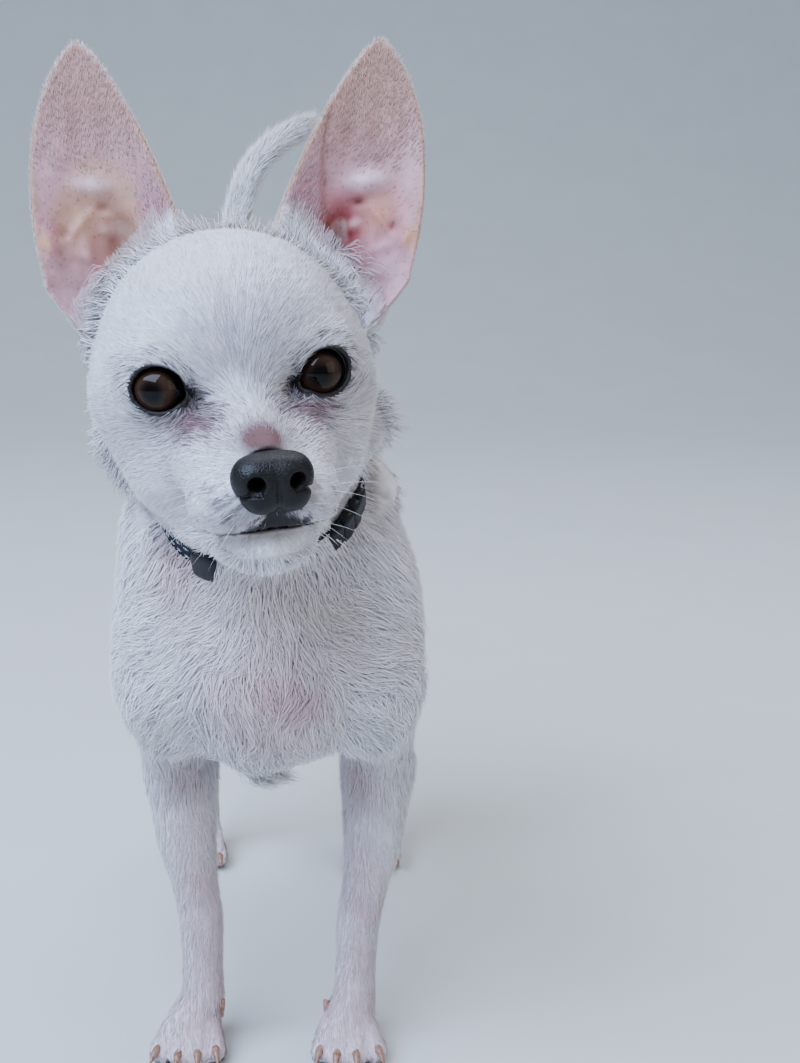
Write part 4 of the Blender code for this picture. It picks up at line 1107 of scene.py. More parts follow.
def claw_points(start, out, length, radius):
    """A hooked cone that curls down to the floor, with a rounded end."""
    line, radii = [], []
    for share in np.linspace(0.0, 1.0, 12):
        drop = 0.36 * rise(share, 0.45, 1.15)
        line.append(start + out * length * share - np.array([0.0, 0.0, length * drop]))
        radii.append(radius * (1.0 - 0.80 * share**1.9))
    line.append(line[-1] + (line[-1] - line[-2]) * 0.25)
    radii.append(radius * 0.04)
    points, quads = tube_points(np.array(line), radii, CLAW_SIDES, False)
    points = np.vstack([points, line[0][None], line[-1][None]])
    last = len(line) * CLAW_SIDES
    for j in range(CLAW_SIDES):
        k = (j + 1) % CLAW_SIDES
        quads.append((last, k, j, j))
        quads.append((last + 1, last - CLAW_SIDES + j, last - CLAW_SIDES + k, last - CLAW_SIDES + k))
    return points, [tuple(dict.fromkeys(quad)) for quad in quads]


# Claw horn: smooth layered keratin, clouded from brownish red to a paler horn colour.
horn, tree, shader = new_finish("claw horn")
place = add_node(tree, "ShaderNodeTexCoord").outputs["Object"]
layers = add_node(tree, "ShaderNodeTexNoise", Vector=place, Scale=per_mm(1.6), Detail=4.0, Roughness=0.6)
ramp = add_node(tree, "ShaderNodeValToRGB", Fac=layers.outputs["Fac"],
                tones=[(0.3, "#6B3D30"), (0.75, "#B08A74")])
relief = add_node(tree, "ShaderNodeBump", Height=layers.outputs["Fac"], Strength=0.25, Distance=0.2 * MM)
give(tree, shader, Base_Color=ramp.outputs["Color"], Normal=relief.outputs[0], Roughness=0.35)

for side, word in ((-1, "right"), (1, "left")):
    for front, pair in ((True, "front"), (False, "hind")):
        place = paw_place(side, front)
        roots = []
        for knuckle, tip in toe_places(place, side):
            out = np.array([(tip[0] - knuckle[0]) * 0.6, -6.0, 0.0])
            roots.append((tip + [0, 0, 2.2], out, CLAW_LENGTH * 1.1, CLAW_RADIUS))
        if front:
            pastern = LEG_X - 9.0 + side * PASTERN_SHIFT[side]
            inner = side * min(pastern - 7.2, side * place[0] - 8.2)
            roots.append((np.array([inner, -64.5, 19.5]), np.array([-side * 0.12, -0.55, -0.85]), 5.2, 1.5))
        forms = [claw_points(start, out / np.linalg.norm(out), length, radius)
                 for start, out, length, radius in roots]
        claws = add_piece("claws_%s_%s" % (pair, word), mesh_of("claws", forms), horn)
        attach(claws, "root")

# Collar band. A flat woven strap, buckled round the neck's waist, with a bound edge along each side. It
# follows the outer face of the frame's own collar.
BAND_SIDES = 240
BAND_HALF_WIDTH = 5.0
EDGE_ROUNDING = 0.7
COLLAR_RADIUS = 42.0

collar_bvh = BVHTree.FromObject(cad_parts["collar"], bpy.context.evaluated_depsgraph_get())


def collar_reach():
    """How far the collar's outer face lies from its middle, all round."""
    middle = in_frame(COLLAR_MIDDLE)
    reach = []
    for turn in np.arange(BAND_SIDES) * 2 * math.pi / BAND_SIDES:
        ray = math.cos(turn) * np.array([1.0, 0.0, 0.0]) + math.sin(turn) * COLLAR_ALONG
        hit = collar_bvh.ray_cast(Vector(middle + ray * 0.12), Vector(-ray))[0]
        reach.append((hit - Vector(middle)).length / MM)
    reach = np.array(reach)
    for _ in range(8):
        reach = (np.roll(reach, 1) + 2 * reach + np.roll(reach, -1)) / 4
    return reach


BAND_REACH = collar_reach()


def on_band(turn, level, height):
    """A place on the collar: its turn round the neck, level across the strap and height over its face."""
    share = (turn / (2 * math.pi)) % 1.0 * BAND_SIDES
    below = int(share) % BAND_SIDES
    part = share - int(share)
    reach = BAND_REACH[below] * (1 - part) + BAND_REACH[(below + 1) % BAND_SIDES] * part
    ray = math.cos(turn) * np.array([1.0, 0.0, 0.0]) + math.sin(turn) * COLLAR_ALONG
    return COLLAR_MIDDLE + ray * (reach + height) + COLLAR_NORMAL * level


def band_profile():
    """Level and height round the strap's section, rounded at its bound edges."""
    half = BAND_HALF_WIDTH - EDGE_ROUNDING
    profile = [(-half, 0.35), (-half * 0.75, 0.0), (0.0, 0.05), (half * 0.75, 0.0), (half, 0.35)]
    for angle in np.radians((60, 20, -20, -60)):
        profile.append((half + EDGE_ROUNDING * math.cos(angle), EDGE_ROUNDING * math.sin(angle) - 0.2))
    profile += [(half, -1.6), (-half, -1.6)]
    for angle in np.radians((-120, -160, 160, 120)):
        profile.append((-half + EDGE_ROUNDING * math.cos(angle), EDGE_ROUNDING * math.sin(angle) - 0.2))
    return profile


profile = band_profile()
turns = np.arange(BAND_SIDES) * 2 * math.pi / BAND_SIDES
points = np.array([on_band(turn, level, height) for turn in turns for level, height in profile])
quads = []
around = len(profile)
for i in range(BAND_SIDES):
    for j in range(around):
        m, k = (i + 1) % BAND_SIDES, (j + 1) % around
        quads.append((i * around + j, m * around + j, m * around + k, i * around + k))
band_mesh = mesh_from("collar_band", in_frame(points), np.array(quads))
weave_map = band_mesh.uv_layers.new(name="weave")
arc = np.arange(BAND_SIDES + 1) * 2 * math.pi * COLLAR_RADIUS / BAND_SIDES
weave = []
for i in range(BAND_SIDES):
    for j in range(around):
        k = (j + 1) % around
        for turn_index, level_index in ((i, j), (i + 1, j), (i + 1, k), (i, k)):
            weave.append((arc[turn_index], profile[level_index][0]))
weave_map.data.foreach_set("uv", np.array(weave, dtype=np.float32).ravel())

# Woven nylon strap: navy black, matt, with ribs about 1 mm apart, drawn a little coarse so that they show.
# The weave's map is in millimetres.
strap, tree, shader = new_finish("woven strap")
along = add_node(tree, "ShaderNodeUVMap", {"uv_map": "weave"}).outputs["UV"]
ribs = add_node(tree, "ShaderNodeTexWave", {"bands_direction": "Y"}, Vector=along, Scale=1.0 / 3.2,
                Distortion=0.4)
picks = add_node(tree, "ShaderNodeTexWave", {"bands_direction": "X"}, Vector=along, Scale=1.0 / 3.6,
                 Distortion=0.4)
cloth = add_node(tree, "ShaderNodeMath", {"operation": "MULTIPLY"}, input0=ribs.outputs["Fac"],
                 input1=picks.outputs["Fac"])
ramp = add_node(tree, "ShaderNodeValToRGB", Fac=cloth.outputs[0],
                tones=[(0.0, "#0A0E13"), (1.0, "#252D38")])
relief = add_node(tree, "ShaderNodeBump", Height=cloth.outputs[0], Strength=0.5, Distance=0.2 * MM)
give(tree, shader, Base_Color=ramp.outputs["Color"], Normal=relief.outputs[0], Roughness=0.7,
     Specular_IOR_Level=0.2)

band = add_piece("collar_band", band_mesh, strap)
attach(band, "root")
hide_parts("collar")

# Sewn dashes. Two rows of pale thread run along the strap, sewn through it by machine, and each stitch
# shows as a short raised dash.
STITCH_ROWS = (-2.9, 1.1)


def dash_tree(thread):
    """Geometry nodes that set a stitch at each step along a line, turned to follow it."""
    tree = bpy.data.node_groups.new("sewn dashes", "GeometryNodeTree")
    tree.interface.new_socket("Seam line", in_out="INPUT", socket_type="NodeSocketGeometry")
    for name in ("Stitch spacing", "Stitch length", "Thread width"):
        tree.interface.new_socket(name, in_out="INPUT", socket_type="NodeSocketFloat")
    tree.interface.new_socket("Stitches", in_out="OUTPUT", socket_type="NodeSocketGeometry")
    given = add_node(tree, "NodeGroupInput").outputs
    curve = add_node(tree, "GeometryNodeMeshToCurve", Mesh=given["Seam line"])
    steps = add_node(tree, "GeometryNodeResampleCurve", {"mode": "LENGTH"}, Curve=curve.outputs[0],
                     Length=given["Stitch spacing"])
    ahead = add_node(tree, "GeometryNodeInputTangent")
    turned = add_node(tree, "FunctionNodeAlignRotationToVector", {"axis": "Z"}, Vector=ahead.outputs[0])
    dash = add_node(tree, "GeometryNodeMeshUVSphere", Segments=8, Rings=6, Radius=0.5)
    size = add_node(tree, "ShaderNodeCombineXYZ", X=given["Thread width"], Y=given["Thread width"],
                    Z=given["Stitch length"])
    placed = add_node(tree, "GeometryNodeInstanceOnPoints", Points=steps.outputs[0],
                      Instance=dash.outputs["Mesh"], Rotation=turned.outputs[0], Scale=size.outputs[0])
    whole = add_node(tree, "GeometryNodeRealizeInstances", Geometry=placed.outputs[0])
    coated = add_node(tree, "GeometryNodeSetMaterial", Geometry=whole.outputs[0], Material=thread)
    add_node(tree, "NodeGroupOutput", Stitches=coated.outputs[0])
    return tree


# Bonded polyester thread: pale grey, slightly glossy filaments, banded a little darker by their twist.
thread, tree, shader = new_finish("bonded sewing thread")
place = add_node(tree, "ShaderNodeTexCoord").outputs["Object"]
twist = add_node(tree, "ShaderNodeTexWave", Vector=place, Scale=per_mm(0.5) / 6.3, Distortion=2.0)
ramp = add_node(tree, "ShaderNodeValToRGB", Fac=twist.outputs["Fac"],
                tones=[(0.0, "#59626C"), (1.0, "#A3ACB4")])
give(tree, shader, Base_Color=ramp.outputs["Color"], Roughness=0.45)

seam_points, seam_edges = [], []
for level in STITCH_ROWS:
    start = len(seam_points)
    seam_points += [in_frame(on_band(turn, level, 0.12)).tolist() for turn in turns]
    seam_edges += [(start + i, start + (i + 1) % BAND_SIDES) for i in range(BAND_SIDES)]
seam_mesh = bpy.data.meshes.new("seam_line")
seam_mesh.from_pydata(seam_points, seam_edges, [])
seam = bpy.data.objects.new("seam_line", seam_mesh)
bpy.context.scene.collection.objects.link(seam)
sewing = seam.modifiers.new("sewing", "NODES")
sewing.node_group = dash_tree(thread)
for name, value in (("Stitch spacing", 4.2 * MM), ("Stitch length", 2.6 * MM), ("Thread width", 0.75 * MM)):
    sewing[sewing.node_group.interface.items_tree[name].identifier] = value
sewn = bpy.data.meshes.new_from_object(seam.evaluated_get(bpy.context.evaluated_depsgraph_get()))
bpy.data.objects.remove(seam)
sewn.materials.clear()
stitches = add_piece("collar_stitches", sewn, thread)
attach(stitches, "root")

# Collar fittings. A moulded slide keeps the strap's end down, and a side-release buckle of two scalloped
# halves closes it. Both are black nylon with rounded edges, pressed over the strap.
SQUARENESS = 0.45


def squarish(value):
    """A cosine or sine drawn out from round towards square."""
    return math.copysign(abs(value) ** SQUARENESS, value)


def moulded_block(turn, long, wide, thick):
    """A rounded block bent round the strap: closed rings from one end to the other."""
    rings, sides = 15, 24
    points = []
    for i in range(rings):
        angle = math.pi * (i + 0.5) / rings
        reach = squarish(math.sin(angle))
        along = squarish(math.cos(angle)) * long / 2
        for j in range(sides):
            around = 2 * math.pi * j / sides
            level = squarish(math.cos(around)) * reach * wide / 2
            height = squarish(math.sin(around)) * reach * thick / 2
            points.append(on_band(turn + along / COLLAR_RADIUS, level, height + thick / 2 - 1.0))
    half_turn = long / (2 * COLLAR_RADIUS)
    points.append(on_band(turn + half_turn, 0.0, thick / 2 - 1.0))
    points.append(on_band(turn - half_turn, 0.0, thick / 2 - 1.0))
    faces = []
    for j in range(sides):
        k = (j + 1) % sides
        faces.append((rings * sides, j, k))
        faces.append((rings * sides + 1, (rings - 1) * sides + k, (rings - 1) * sides + j))
        for i in range(rings - 1):
            faces.append((i * sides + j, (i + 1) * sides + j, (i + 1) * sides + k, i * sides + k))
    return points, faces


# Moulded nylon: black, satin, with the faint orange-peel of the mould.
moulded, tree, shader = new_finish("moulded black nylon")
place = add_node(tree, "ShaderNodeTexCoord").outputs["Object"]
peel = add_node(tree, "ShaderNodeTexNoise", Vector=place, Scale=per_mm(0.8), Detail=3.0)
ramp = add_node(tree, "ShaderNodeValToRGB", Fac=peel.outputs["Fac"],
                tones=[(0.0, "#08090B"), (1.0, "#191C20")])
relief = add_node(tree, "ShaderNodeBump", Height=peel.outputs["Fac"], Strength=0.2, Distance=0.1 * MM)
give(tree, shader, Base_Color=ramp.outputs["Color"], Normal=relief.outputs[0], Roughness=0.42,
     Specular_IOR_Level=0.25)

# Each block: its turn round the neck in degrees, then its length, width and thickness
fittings = {"collar_slide": [(-113.0, 9.0, 13.0, 4.6)],
            "collar_buckle": [(-46.0, 7.5, 10.0, 3.6), (-37.0, 7.0, 11.0, 4.0), (-28.0, 7.0, 11.0, 4.0),
                              (-19.0, 7.5, 10.0, 3.6)]}
for name, blocks in fittings.items():
    forms = [moulded_block(math.radians(turn), long, wide, thick) for turn, long, wide, thick in blocks]
    fitting = add_piece(name, mesh_of(name, forms), moulded)
    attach(fitting, "root")

# Coat. Short flat hair grows from the skin in tufts that lie along the body, longest on the ruff and the
# chest and finest on the face, ears and feet. Each tuft is a thin closed cone of three sides, its root sunk.
TUFT_SHARE = 1.0
PATCH = 0.003
COAT_PARTING = -6.0

# Each line: a place in the head's frame, for the dog's left side and mirrored, and the way its hair lies.
HEAD_LIE = [
    ((0, -36, -9), (0.12, 0.75, 0.65)), ((0, -24, -6), (0.15, 0.7, 0.7)), ((0, -10, 4), (0.1, 0.35, 1.0)),
    ((0, 4, 22), (0.12, 0.5, 0.9)), ((0, 20, 40), (0.1, 0.9, 0.5)), ((0, 50, 44), (0.05, 1.0, -0.2)),
    ((16, -2, 18), (0.55, 0.4, 0.8)), ((28, 4, 18), (0.7, 0.5, 0.6)), ((38, 16, 14), (0.6, 0.8, 0.4)),
    ((38, 8, -4), (0.6, 0.8, -0.15)), ((44, 30, -6), (0.2, 0.9, -0.4)),
    ((24, -6, -15), (0.75, 0.6, -0.35)), ((12, -10, -8), (0.7, 0.6, 0.15)),
    ((36, 14, -24), (0.4, 0.75, -0.55)), ((34, 24, -42), (0.25, 0.6, -0.8)),
    ((14, -26, -14), (0.55, 0.8, -0.1)), ((18, -24, -28), (0.6, 0.7, -0.45)),
    ((14, -36, -28), (0.7, 0.45, -0.5)), ((5, -41, -35), (0.55, 0.2, -0.85)),
    ((0, -34, -46), (0.0, 0.5, -0.85)), ((12, -20, -48), (0.3, 0.7, -0.6)),
    ((0, 5, -56), (0.0, 0.9, -0.4)), ((20, 40, -45), (0.2, 0.5, -0.85)), ((0, 75, 10), (0.0, 0.5, -0.9)),
    ((30, 60, 20), (0.2, 0.7, -0.7)),
]
# The same for the body, mirrored too.
BODY_LIE = [
    ((0, -108, 214), (0.05, 0.0, -1.0)), ((18, -104, 205), (0.5, 0.1, -0.85)),
    ((0, -112, 190), (0.25, 0.0, -1.0)), ((22, -108, 185), (0.9, 0.1, -0.45)),
    ((8, -110, 165), (-0.5, 0.0, -0.85)), ((0, -98, 140), (0.0, 0.1, -1.0)),
    ((38, -96, 180), (0.85, 0.35, -0.4)), ((36, -98, 150), (0.45, 0.2, -0.85)),
    ((52, -70, 200), (0.2, 0.5, -0.85)), ((55, -60, 160), (0.0, 0.4, -0.9)),
    ((44, -62, 120), (0.0, 0.2, -1.0)), ((38, -56, 80), (0.05, 0.1, -1.0)),
    ((30, -60, 30), (0.0, -0.2, -1.0)), ((30, -80, 8), (0.0, -0.95, -0.3)),
    ((45, -70, 255), (0.3, 0.5, -0.8)), ((0, -35, 265), (0.0, 0.5, -0.85)),
    ((0, -15, 232), (0.0, 0.95, -0.3)), ((0, 40, 222), (0.0, 1.0, -0.05)),
    ((0, 100, 215), (0.0, 0.9, -0.4)), ((44, 0, 190), (0.0, 0.85, -0.5)),
    ((40, 50, 180), (0.0, 0.8, -0.6)), ((0, -84, 116), (-0.2, -0.25, -1.0)),
    ((0, -20, 130), (0.0, 1.0, 0.0)), ((0, 50, 150), (0.0, 1.0, 0.1)), ((38, 90, 190), (0.0, 0.6, -0.8)),
    ((40, 85, 145), (0.0, 0.45, -0.9)), ((38, 90, 100), (0.0, 0.6, -0.8)),
    ((40, 118, 55), (0.0, -0.1, -1.0)), ((42, 110, 25), (0.0, -0.2, -1.0)),
    ((42, 92, 8), (0.0, -0.95, -0.3)), ((15, 125, 160), (0.0, 0.2, -1.0)),
]


def guided(q, guides, reach):
    """The lie at each place, averaged from the guides round it."""
    places = np.array([place for place, lie in guides], dtype=float)
    lies = np.array([lie for place, lie in guides], dtype=float)
    lies /= np.linalg.norm(lies, axis=1)[:, None]
    mirrored = q.copy()
    mirrored[:, 0] = np.abs(q[:, 0])
    total = np.zeros((len(q), 3))
    for place, lie in zip(places, lies):
        near = 1.0 / (np.sum(np.square(mirrored - place), axis=1) + reach**2) ** 2
        total += near[:, None] * lie
    total[:, 0] *= np.where(q[:, 0] < 0, -1.0, 1.0)
    return total / np.linalg.norm(total, axis=1)[:, None]


def lie_at(p, region):
    """The way the hair lies at each place."""
    if region in ("ears", "fringe"):
        lie = np.zeros((len(p), 3))
        for side in (-1, 1):
            mine = (p[:, 0] < BETWEEN_EARS) if side < 0 else (p[:, 0] >= BETWEEN_EARS)
            base, up, out, front = ear_frame(side)
            s, across, height, edge = ear_places(p, side)
            inward = rise(across, -1.0, ear_fold_edge(s)) * rise(-s, -0.7, -0.4)
            fan = np.where(height > 0, 0.15 + 0.30 * np.clip(across, -1, 1) + 0.75 * inward, 0.35 * across)
            if region == "fringe":
                fan = 0.45 + 0.25 * across
            lie[mine] = (up + out * fan[:, None])[mine]
        return lie / np.linalg.norm(lie, axis=1)[:, None]
    if region == "tail":
        lie = np.zeros((len(p), 3))
        step = np.gradient(TAIL_LINE, axis=0)
        best = np.full(len(p), 1e9)
        for point, along in zip(TAIL_LINE, step):
            gap = np.sum(np.square(p - point), axis=1)
            closer = gap < best
            best[closer] = gap[closer]
            lie[closer] = along
        return lie / np.linalg.norm(lie, axis=1)[:, None]
    head = guided(in_head(p), HEAD_LIE, 5.0) @ HEAD_TURN.T
    shifted = p.copy()
    shifted[:, 0] -= rear_middle(p[:, 1])
    body = guided(shifted, BODY_LIE, 10.0)
    if region in ("face", "crown"):
        for side in (-1, 1):
            centre, axis, outward, up = eye_frame(side)
            ball, u, v, out = eye_places(in_head(p), side)
            far = np.maximum(np.hypot(u, v), 1.0)
            turn = np.where(v > -2.0, 1.0, -1.0) / far
            arc = outward * (v * turn + 0.5 * rise(u, 0.0, 8.0))[:, None] + up * (-u * turn)[:, None]
            near = hill(far, 11.0, 3.2) * (out > -4.0)
            head += (arc @ HEAD_TURN.T) * (2.5 * near)[:, None]
    share = rise(over_collar(p), -6.0, 10.0)[:, None]
    lie = head * share + body * (1.0 - share)
    return lie / np.linalg.norm(lie, axis=1)[:, None]


def region_of(p):
    """The part of the coat that a root belongs to."""
    q = in_head(p)
    above = over_collar(p) > 0
    names = np.full(len(p), "flank", dtype="<U8")
    names[(p[:, 1] > 40)] = "rump"
    names[(p[:, 1] < -40) & (p[:, 2] > 105)] = "shoulder"
    names[(p[:, 1] < -84) & (p[:, 2] > 105)] = "chest"
    names[(p[:, 1] < 0) & (p[:, 2] <= 105)] = "foreleg"
    names[(p[:, 1] >= 20) & (p[:, 2] <= 128)] = "hindleg"
    tail = nearby(p, (-70, 112, 190), (40, 200, 400), tail_skin) < 0.8 + 0.4 * ripple(p, 6.0, 5)
    names[tail] = "tail"
    names[above] = "ruff"
    names[above & (q[:, 1] < 42)] = "crown"
    names[above & (q[:, 1] < 14) & (q[:, 2] < 12)] = "face"
    front = (p - COLLAR_MIDDLE) @ COLLAR_ALONG < -26.0
    names[(p[:, 2] < 126) & (p[:, 1] < -72) & (np.abs(p[:, 0] + 5.0) < 11)] = "brisket"
    names[above & (q[:, 2] < -45.0) & (q[:, 1] < 4.0)] = "chin"
    names[above & front & (over_collar(p) < 16.0) & (q[:, 1] > -10)] = "throat"
    for side in (-1, 1):
        s, across, height, edge = ear_places(p, side)
        mine = (p[:, 0] < BETWEEN_EARS) if side < 0 else (p[:, 0] >= BETWEEN_EARS)
        mine = above & mine & (edge < 1.6)
        names[mine & (s > -0.24) & (np.abs(height) < 9.0)] = "ears"
        near = mine & (s > -0.26) & (height > -7.0) & (height < 12.0) & (across > -0.75)
        names[near & (s < border_of_ear(across) - 0.03) & (s > border_of_ear(across) - 0.20)] = "fringe"
    return names


# Region: tufts per square mm, length, width, lift in degrees, spread in degrees, clump size and pull, bent
GROWTH = {
    "face": (3.3, 5.0, 0.34, 9.0, 10.0, 2.2, 0.40, False),
    "chin": (2.8, 7.5, 0.36, 20.0, 15.0, 3.0, 0.40, True),
    "crown": (2.6, 6.6, 0.38, 8.0, 11.0, 3.0, 0.42, False),
    "ears": (2.2, 3.2, 0.24, 8.0, 11.0, 1.6, 0.20, False),
    "fringe": (3.8, 5.6, 0.34, 10.0, 12.0, 2.8, 0.40, True),
    "throat": (2.6, 15.0, 0.40, 9.0, 12.0, 4.0, 0.35, True),
    "ruff": (1.7, 14.0, 0.46, 20.0, 15.0, 6.0, 0.50, True),
    "chest": (1.8, 13.5, 0.44, 11.0, 15.0, 7.0, 0.62, True),
    "brisket": (2.4, 15.0, 0.40, 26.0, 13.0, 5.0, 0.55, True),
    "shoulder": (1.8, 8.5, 0.46, 8.0, 11.0, 5.0, 0.50, False),
    "flank": (1.1, 9.0, 0.55, 6.0, 10.0, 5.0, 0.50, False),
    "rump": (1.1, 9.0, 0.55, 6.0, 10.0, 5.0, 0.50, False),
    "foreleg": (2.1, 5.0, 0.36, 9.0, 10.0, 2.8, 0.40, False),
    "hindleg": (1.5, 5.4, 0.42, 8.0, 10.0, 3.0, 0.40, False),
    "tail": (2.0, 10.0, 0.42, 17.0, 13.0, 3.5, 0.35, False),
}


# How far the roots are shaded, so that the tufts part from each other
ROOT_SHADOW = {"face": 0.42, "crown": 0.40, "shoulder": 0.28, "brisket": 0.05, "tail": 0.12}


def bare(p):
    """How bare the skin is, 0 to 1: lids, lips, the patch over the nose, inner ears, under the collar."""
    q = in_head(p)
    amount = np.zeros(len(p))
    for side in (-1, 1):
        ball, u, v, out = eye_places(q, side)
        amount = np.maximum(amount, rise(-lid_opening(u, v), -1.3, -0.5) * (ball < 4) * (out > 0))
        amount = np.maximum(amount, 0.6 * dusky_skin(q, side))
        inside, s, across, height = inner_ear(p, side)
        fold_edge = ear_fold_edge(s)
        smooth = inside * rise(-s, -0.62, -0.40) * rise(across, fold_edge - 0.12, fold_edge + 0.08) * 0.96
        smooth = smooth * rise(s, border_of_ear(across) - 0.04, border_of_ear(across) + 0.02)
        smooth = np.maximum(smooth, (concha_field(p, side) < 1.0) * rise(across, -0.5, -0.3))
        amount = np.maximum(amount, smooth * (p[:, 2] > 280))
    below = q[:, 2] - mouth_height(q[:, 1])
    amount = np.maximum(amount, 0.85 * hill(below, -1.6, 1.6) * rise(-q[:, 1], 14.0, 22.0))
    amount = np.maximum(amount, 0.85 * black_lip(q))
    amount = np.maximum(amount, 0.9 * whisker_dots(q, 1.0))
    amount = np.maximum(amount, 1.5 * spot(q, (1.0, -36.0, -8.6), (11.4, 9.5, 6.2)) - 0.15)
    nose = ellipsoid(q, NOSE_CENTRE, NOSE_HALF)
    amount = np.maximum(amount, rise(-nose, -1.2, -0.2))
    amount = np.maximum(amount, 0.6 * armpit(p))
    level = over_collar(p)
    amount = np.maximum(amount, rise(level, -3.4, -2.6) * rise(-level, -6.0, -5.0) * (p[:, 2] > 180))
    return np.maximum(amount, rise(-p[:, 2], -2.2, -1.0))


def coat_tint(p, region, rng):
    """Colours of each tuft at its root and at its tip."""
    q = in_head(p)
    bare_tint = skin_tint(p)
    # Painted shade: each root is greyed towards blue-grey, as if shaded by the tufts round it
    root = blend_in(bare_tint, "#9E9AAC", np.full(len(p), ROOT_SHADOW.get(region, 0.25)))
    tip = np.tile(linear("#F7F6F8"), (len(p), 1))
    tip = blend_in(tip, "#EFE4D6", 0.5 * (0.5 + 0.5 * ripple(p, 26.0, 3)))
    tip = tip + (bare_tint - tip) * 0.6
    if region in ("face", "crown", "chin"):
        for side in (-1, 1):
            ball, u, v, out = eye_places(q, side)
            far = np.hypot(u, v)
            lashes_and_fold_shade = 0.42 * hill(lid_opening(u, v), 1.7, 1.2) * (out > 0)
            lashes_and_fold_shade = np.maximum(lashes_and_fold_shade, 0.45 * spot(q, EYE_CORNER * (side, 1, 1), (2.8, 9, 2.8)))
            # Painted shade: dark hair tips along the fold over each eye, where the crease is shaded
            lashes_and_fold_shade = np.maximum(lashes_and_fold_shade, 0.26 * hill(far, 12.8, 1.3) * rise(v, 1.0, 6.0) * (out > -2))
            dusky = dusky_skin(q, side)
            draw = rng.random(len(p))
            tip = blend_in(tip, "#6B4E52", np.where(draw < dusky, 0.85, 0.0))
            root = blend_in(root, "#523A3E", np.where(draw < dusky, 0.85, 0.0))
            tip = blend_in(tip, "#473839", np.where(draw < lashes_and_fold_shade, 0.9, 0.0))
            root = blend_in(root, "#2A1F20", np.where(draw < lashes_and_fold_shade, 0.9, 0.0))
        dark = rng.random(len(p)) < 0.75 * spot(q, (1.0, -32, -6.0), (9, 7, 4.5))
        tip = blend_in(tip, "#4A3A3D", np.where(dark, 0.85, 0.0))
        between = rng.random(len(p)) < 0.35 * spot(q, (0, 0, 16), (18, 24, 20))
        tip = blend_in(tip, "#8E7F8B", np.where(between, 0.8, 0.0))
        grey = rng.random(len(p)) < 0.5 * spot(q, (0, -37, -32), (17, 14, 6))
        tip = blend_in(tip, "#6E6770", np.where(grey, 0.75, 0.0))
        dotted = rng.random(len(p)) < 0.85 * whisker_dots(q, 1.1)
        tip = blend_in(tip, "#5C5766", np.where(dotted, 0.6, 0.0))
        root = blend_in(root, "#3A3540", np.where(dotted, 0.85, 0.0))
        patch = spot(q, (1.0, -35, -8.0), (12.0, 10, 6.4))
        tip = blend_in(tip, "#6F4A48", 1.5 * patch)
        lip = rng.random(len(p)) < 0.9 * black_lip(q, 1.3)
        tip = blend_in(tip, "#262023", np.where(lip, 0.95, 0.0))
        root = blend_in(root, "#141012", np.where(lip, 0.95, 0.0))
    if region == "ears":
        left = p[:, 0] >= BETWEEN_EARS
        s = ear_places(p, 1)[0] * left + ear_places(p, -1)[0] * ~left
        tip = blend_in(tip, "#E2C8C6", np.full(len(p), 0.45))
        # Tan towards the tips, stronger on the dog's left ear, whose extra warmth is painted warm light
        tip = blend_in(tip, "#C29678", np.where(left, 0.75, 0.5) * rise(s, 0.25, 0.6))
        root = root + (bare_tint - root) * 0.8
        tip = tip + (bare_tint - tip) * 0.25
    shade = rng.normal(0.0, 0.075, len(p))[:, None]
    return np.clip(root * (1 + shade), 0, 1), np.clip(tip * (1 + shade), 0, 1)


def unwrapped(p, region):
    """A place for each root on a flat unwrap of the part that it grows on, 0 to 1 each way."""
    if region in ("ears", "fringe"):
        left = p[:, 0] >= BETWEEN_EARS
        one, two = ear_places(p, -1), ear_places(p, 1)
        s, across, height = [np.where(left, b, a) for a, b in zip(one[:3], two[:3])]
        u = 0.125 + 0.1 * across + 0.25 * (height > 0) + 0.5 * left
        return np.stack([u, 0.05 + 0.7 * np.clip(s + 0.3, 0, 1.3)], 1)
    middle = p.mean(axis=0)
    high, low = p.max(axis=0), p.min(axis=0)

    def part_of(axis):
        return 0.03 + 0.94 * (p[:, axis] - low[axis]) / (high[axis] - low[axis])

    if region in ("foreleg", "hindleg"):
        left = p[:, 0] > middle[0]
        turn = np.zeros(len(p))
        for mine in (left, ~left):
            centre = p[mine].mean(axis=0)
            turn[mine] = np.arctan2(p[mine, 1] - centre[1], p[mine, 0] - centre[0]) / (2 * math.pi) + 0.5
        return np.stack([0.02 + 0.46 * turn + 0.5 * left, part_of(2)], 1)
    if region in ("flank", "rump"):
        turn = np.arctan2(p[:, 0] - middle[0], p[:, 2] - middle[2]) / (2 * math.pi) + 0.5
        return np.stack([0.02 + 0.96 * turn, part_of(1)], 1)
    turn = np.arctan2(p[:, 0] - middle[0], middle[1] - p[:, 1]) / (2 * math.pi) + 0.5
    return np.stack([0.02 + 0.96 * turn, part_of(2)], 1)


# A plain tuft is a long three-sided cone, and a bent one has a second ring part of the way along.
PLAIN_FACES = np.array([(0, 1, 2), (1, 0, 3), (0, 2, 3), (2, 1, 3)])
PLAIN_PATCH = np.array([(0.0, 0.0), (1.0, 0.0), (0.5, 0.2), (0.5, 1.0)])
BENT_FACES = np.array([(0, 1, 2)] + [face for a, b in ((1, 0), (0, 2), (2, 1))
                                     for face in ((a, b, b + 3), (a, b + 3, a + 3), (a + 3, b + 3, 6))])
BENT_PATCH = np.array([(0.0, 0.0), (1.0, 0.0), (0.5, 0.15), (0.1, 0.5), (0.9, 0.5), (0.5, 0.6), (0.5, 1.0)])

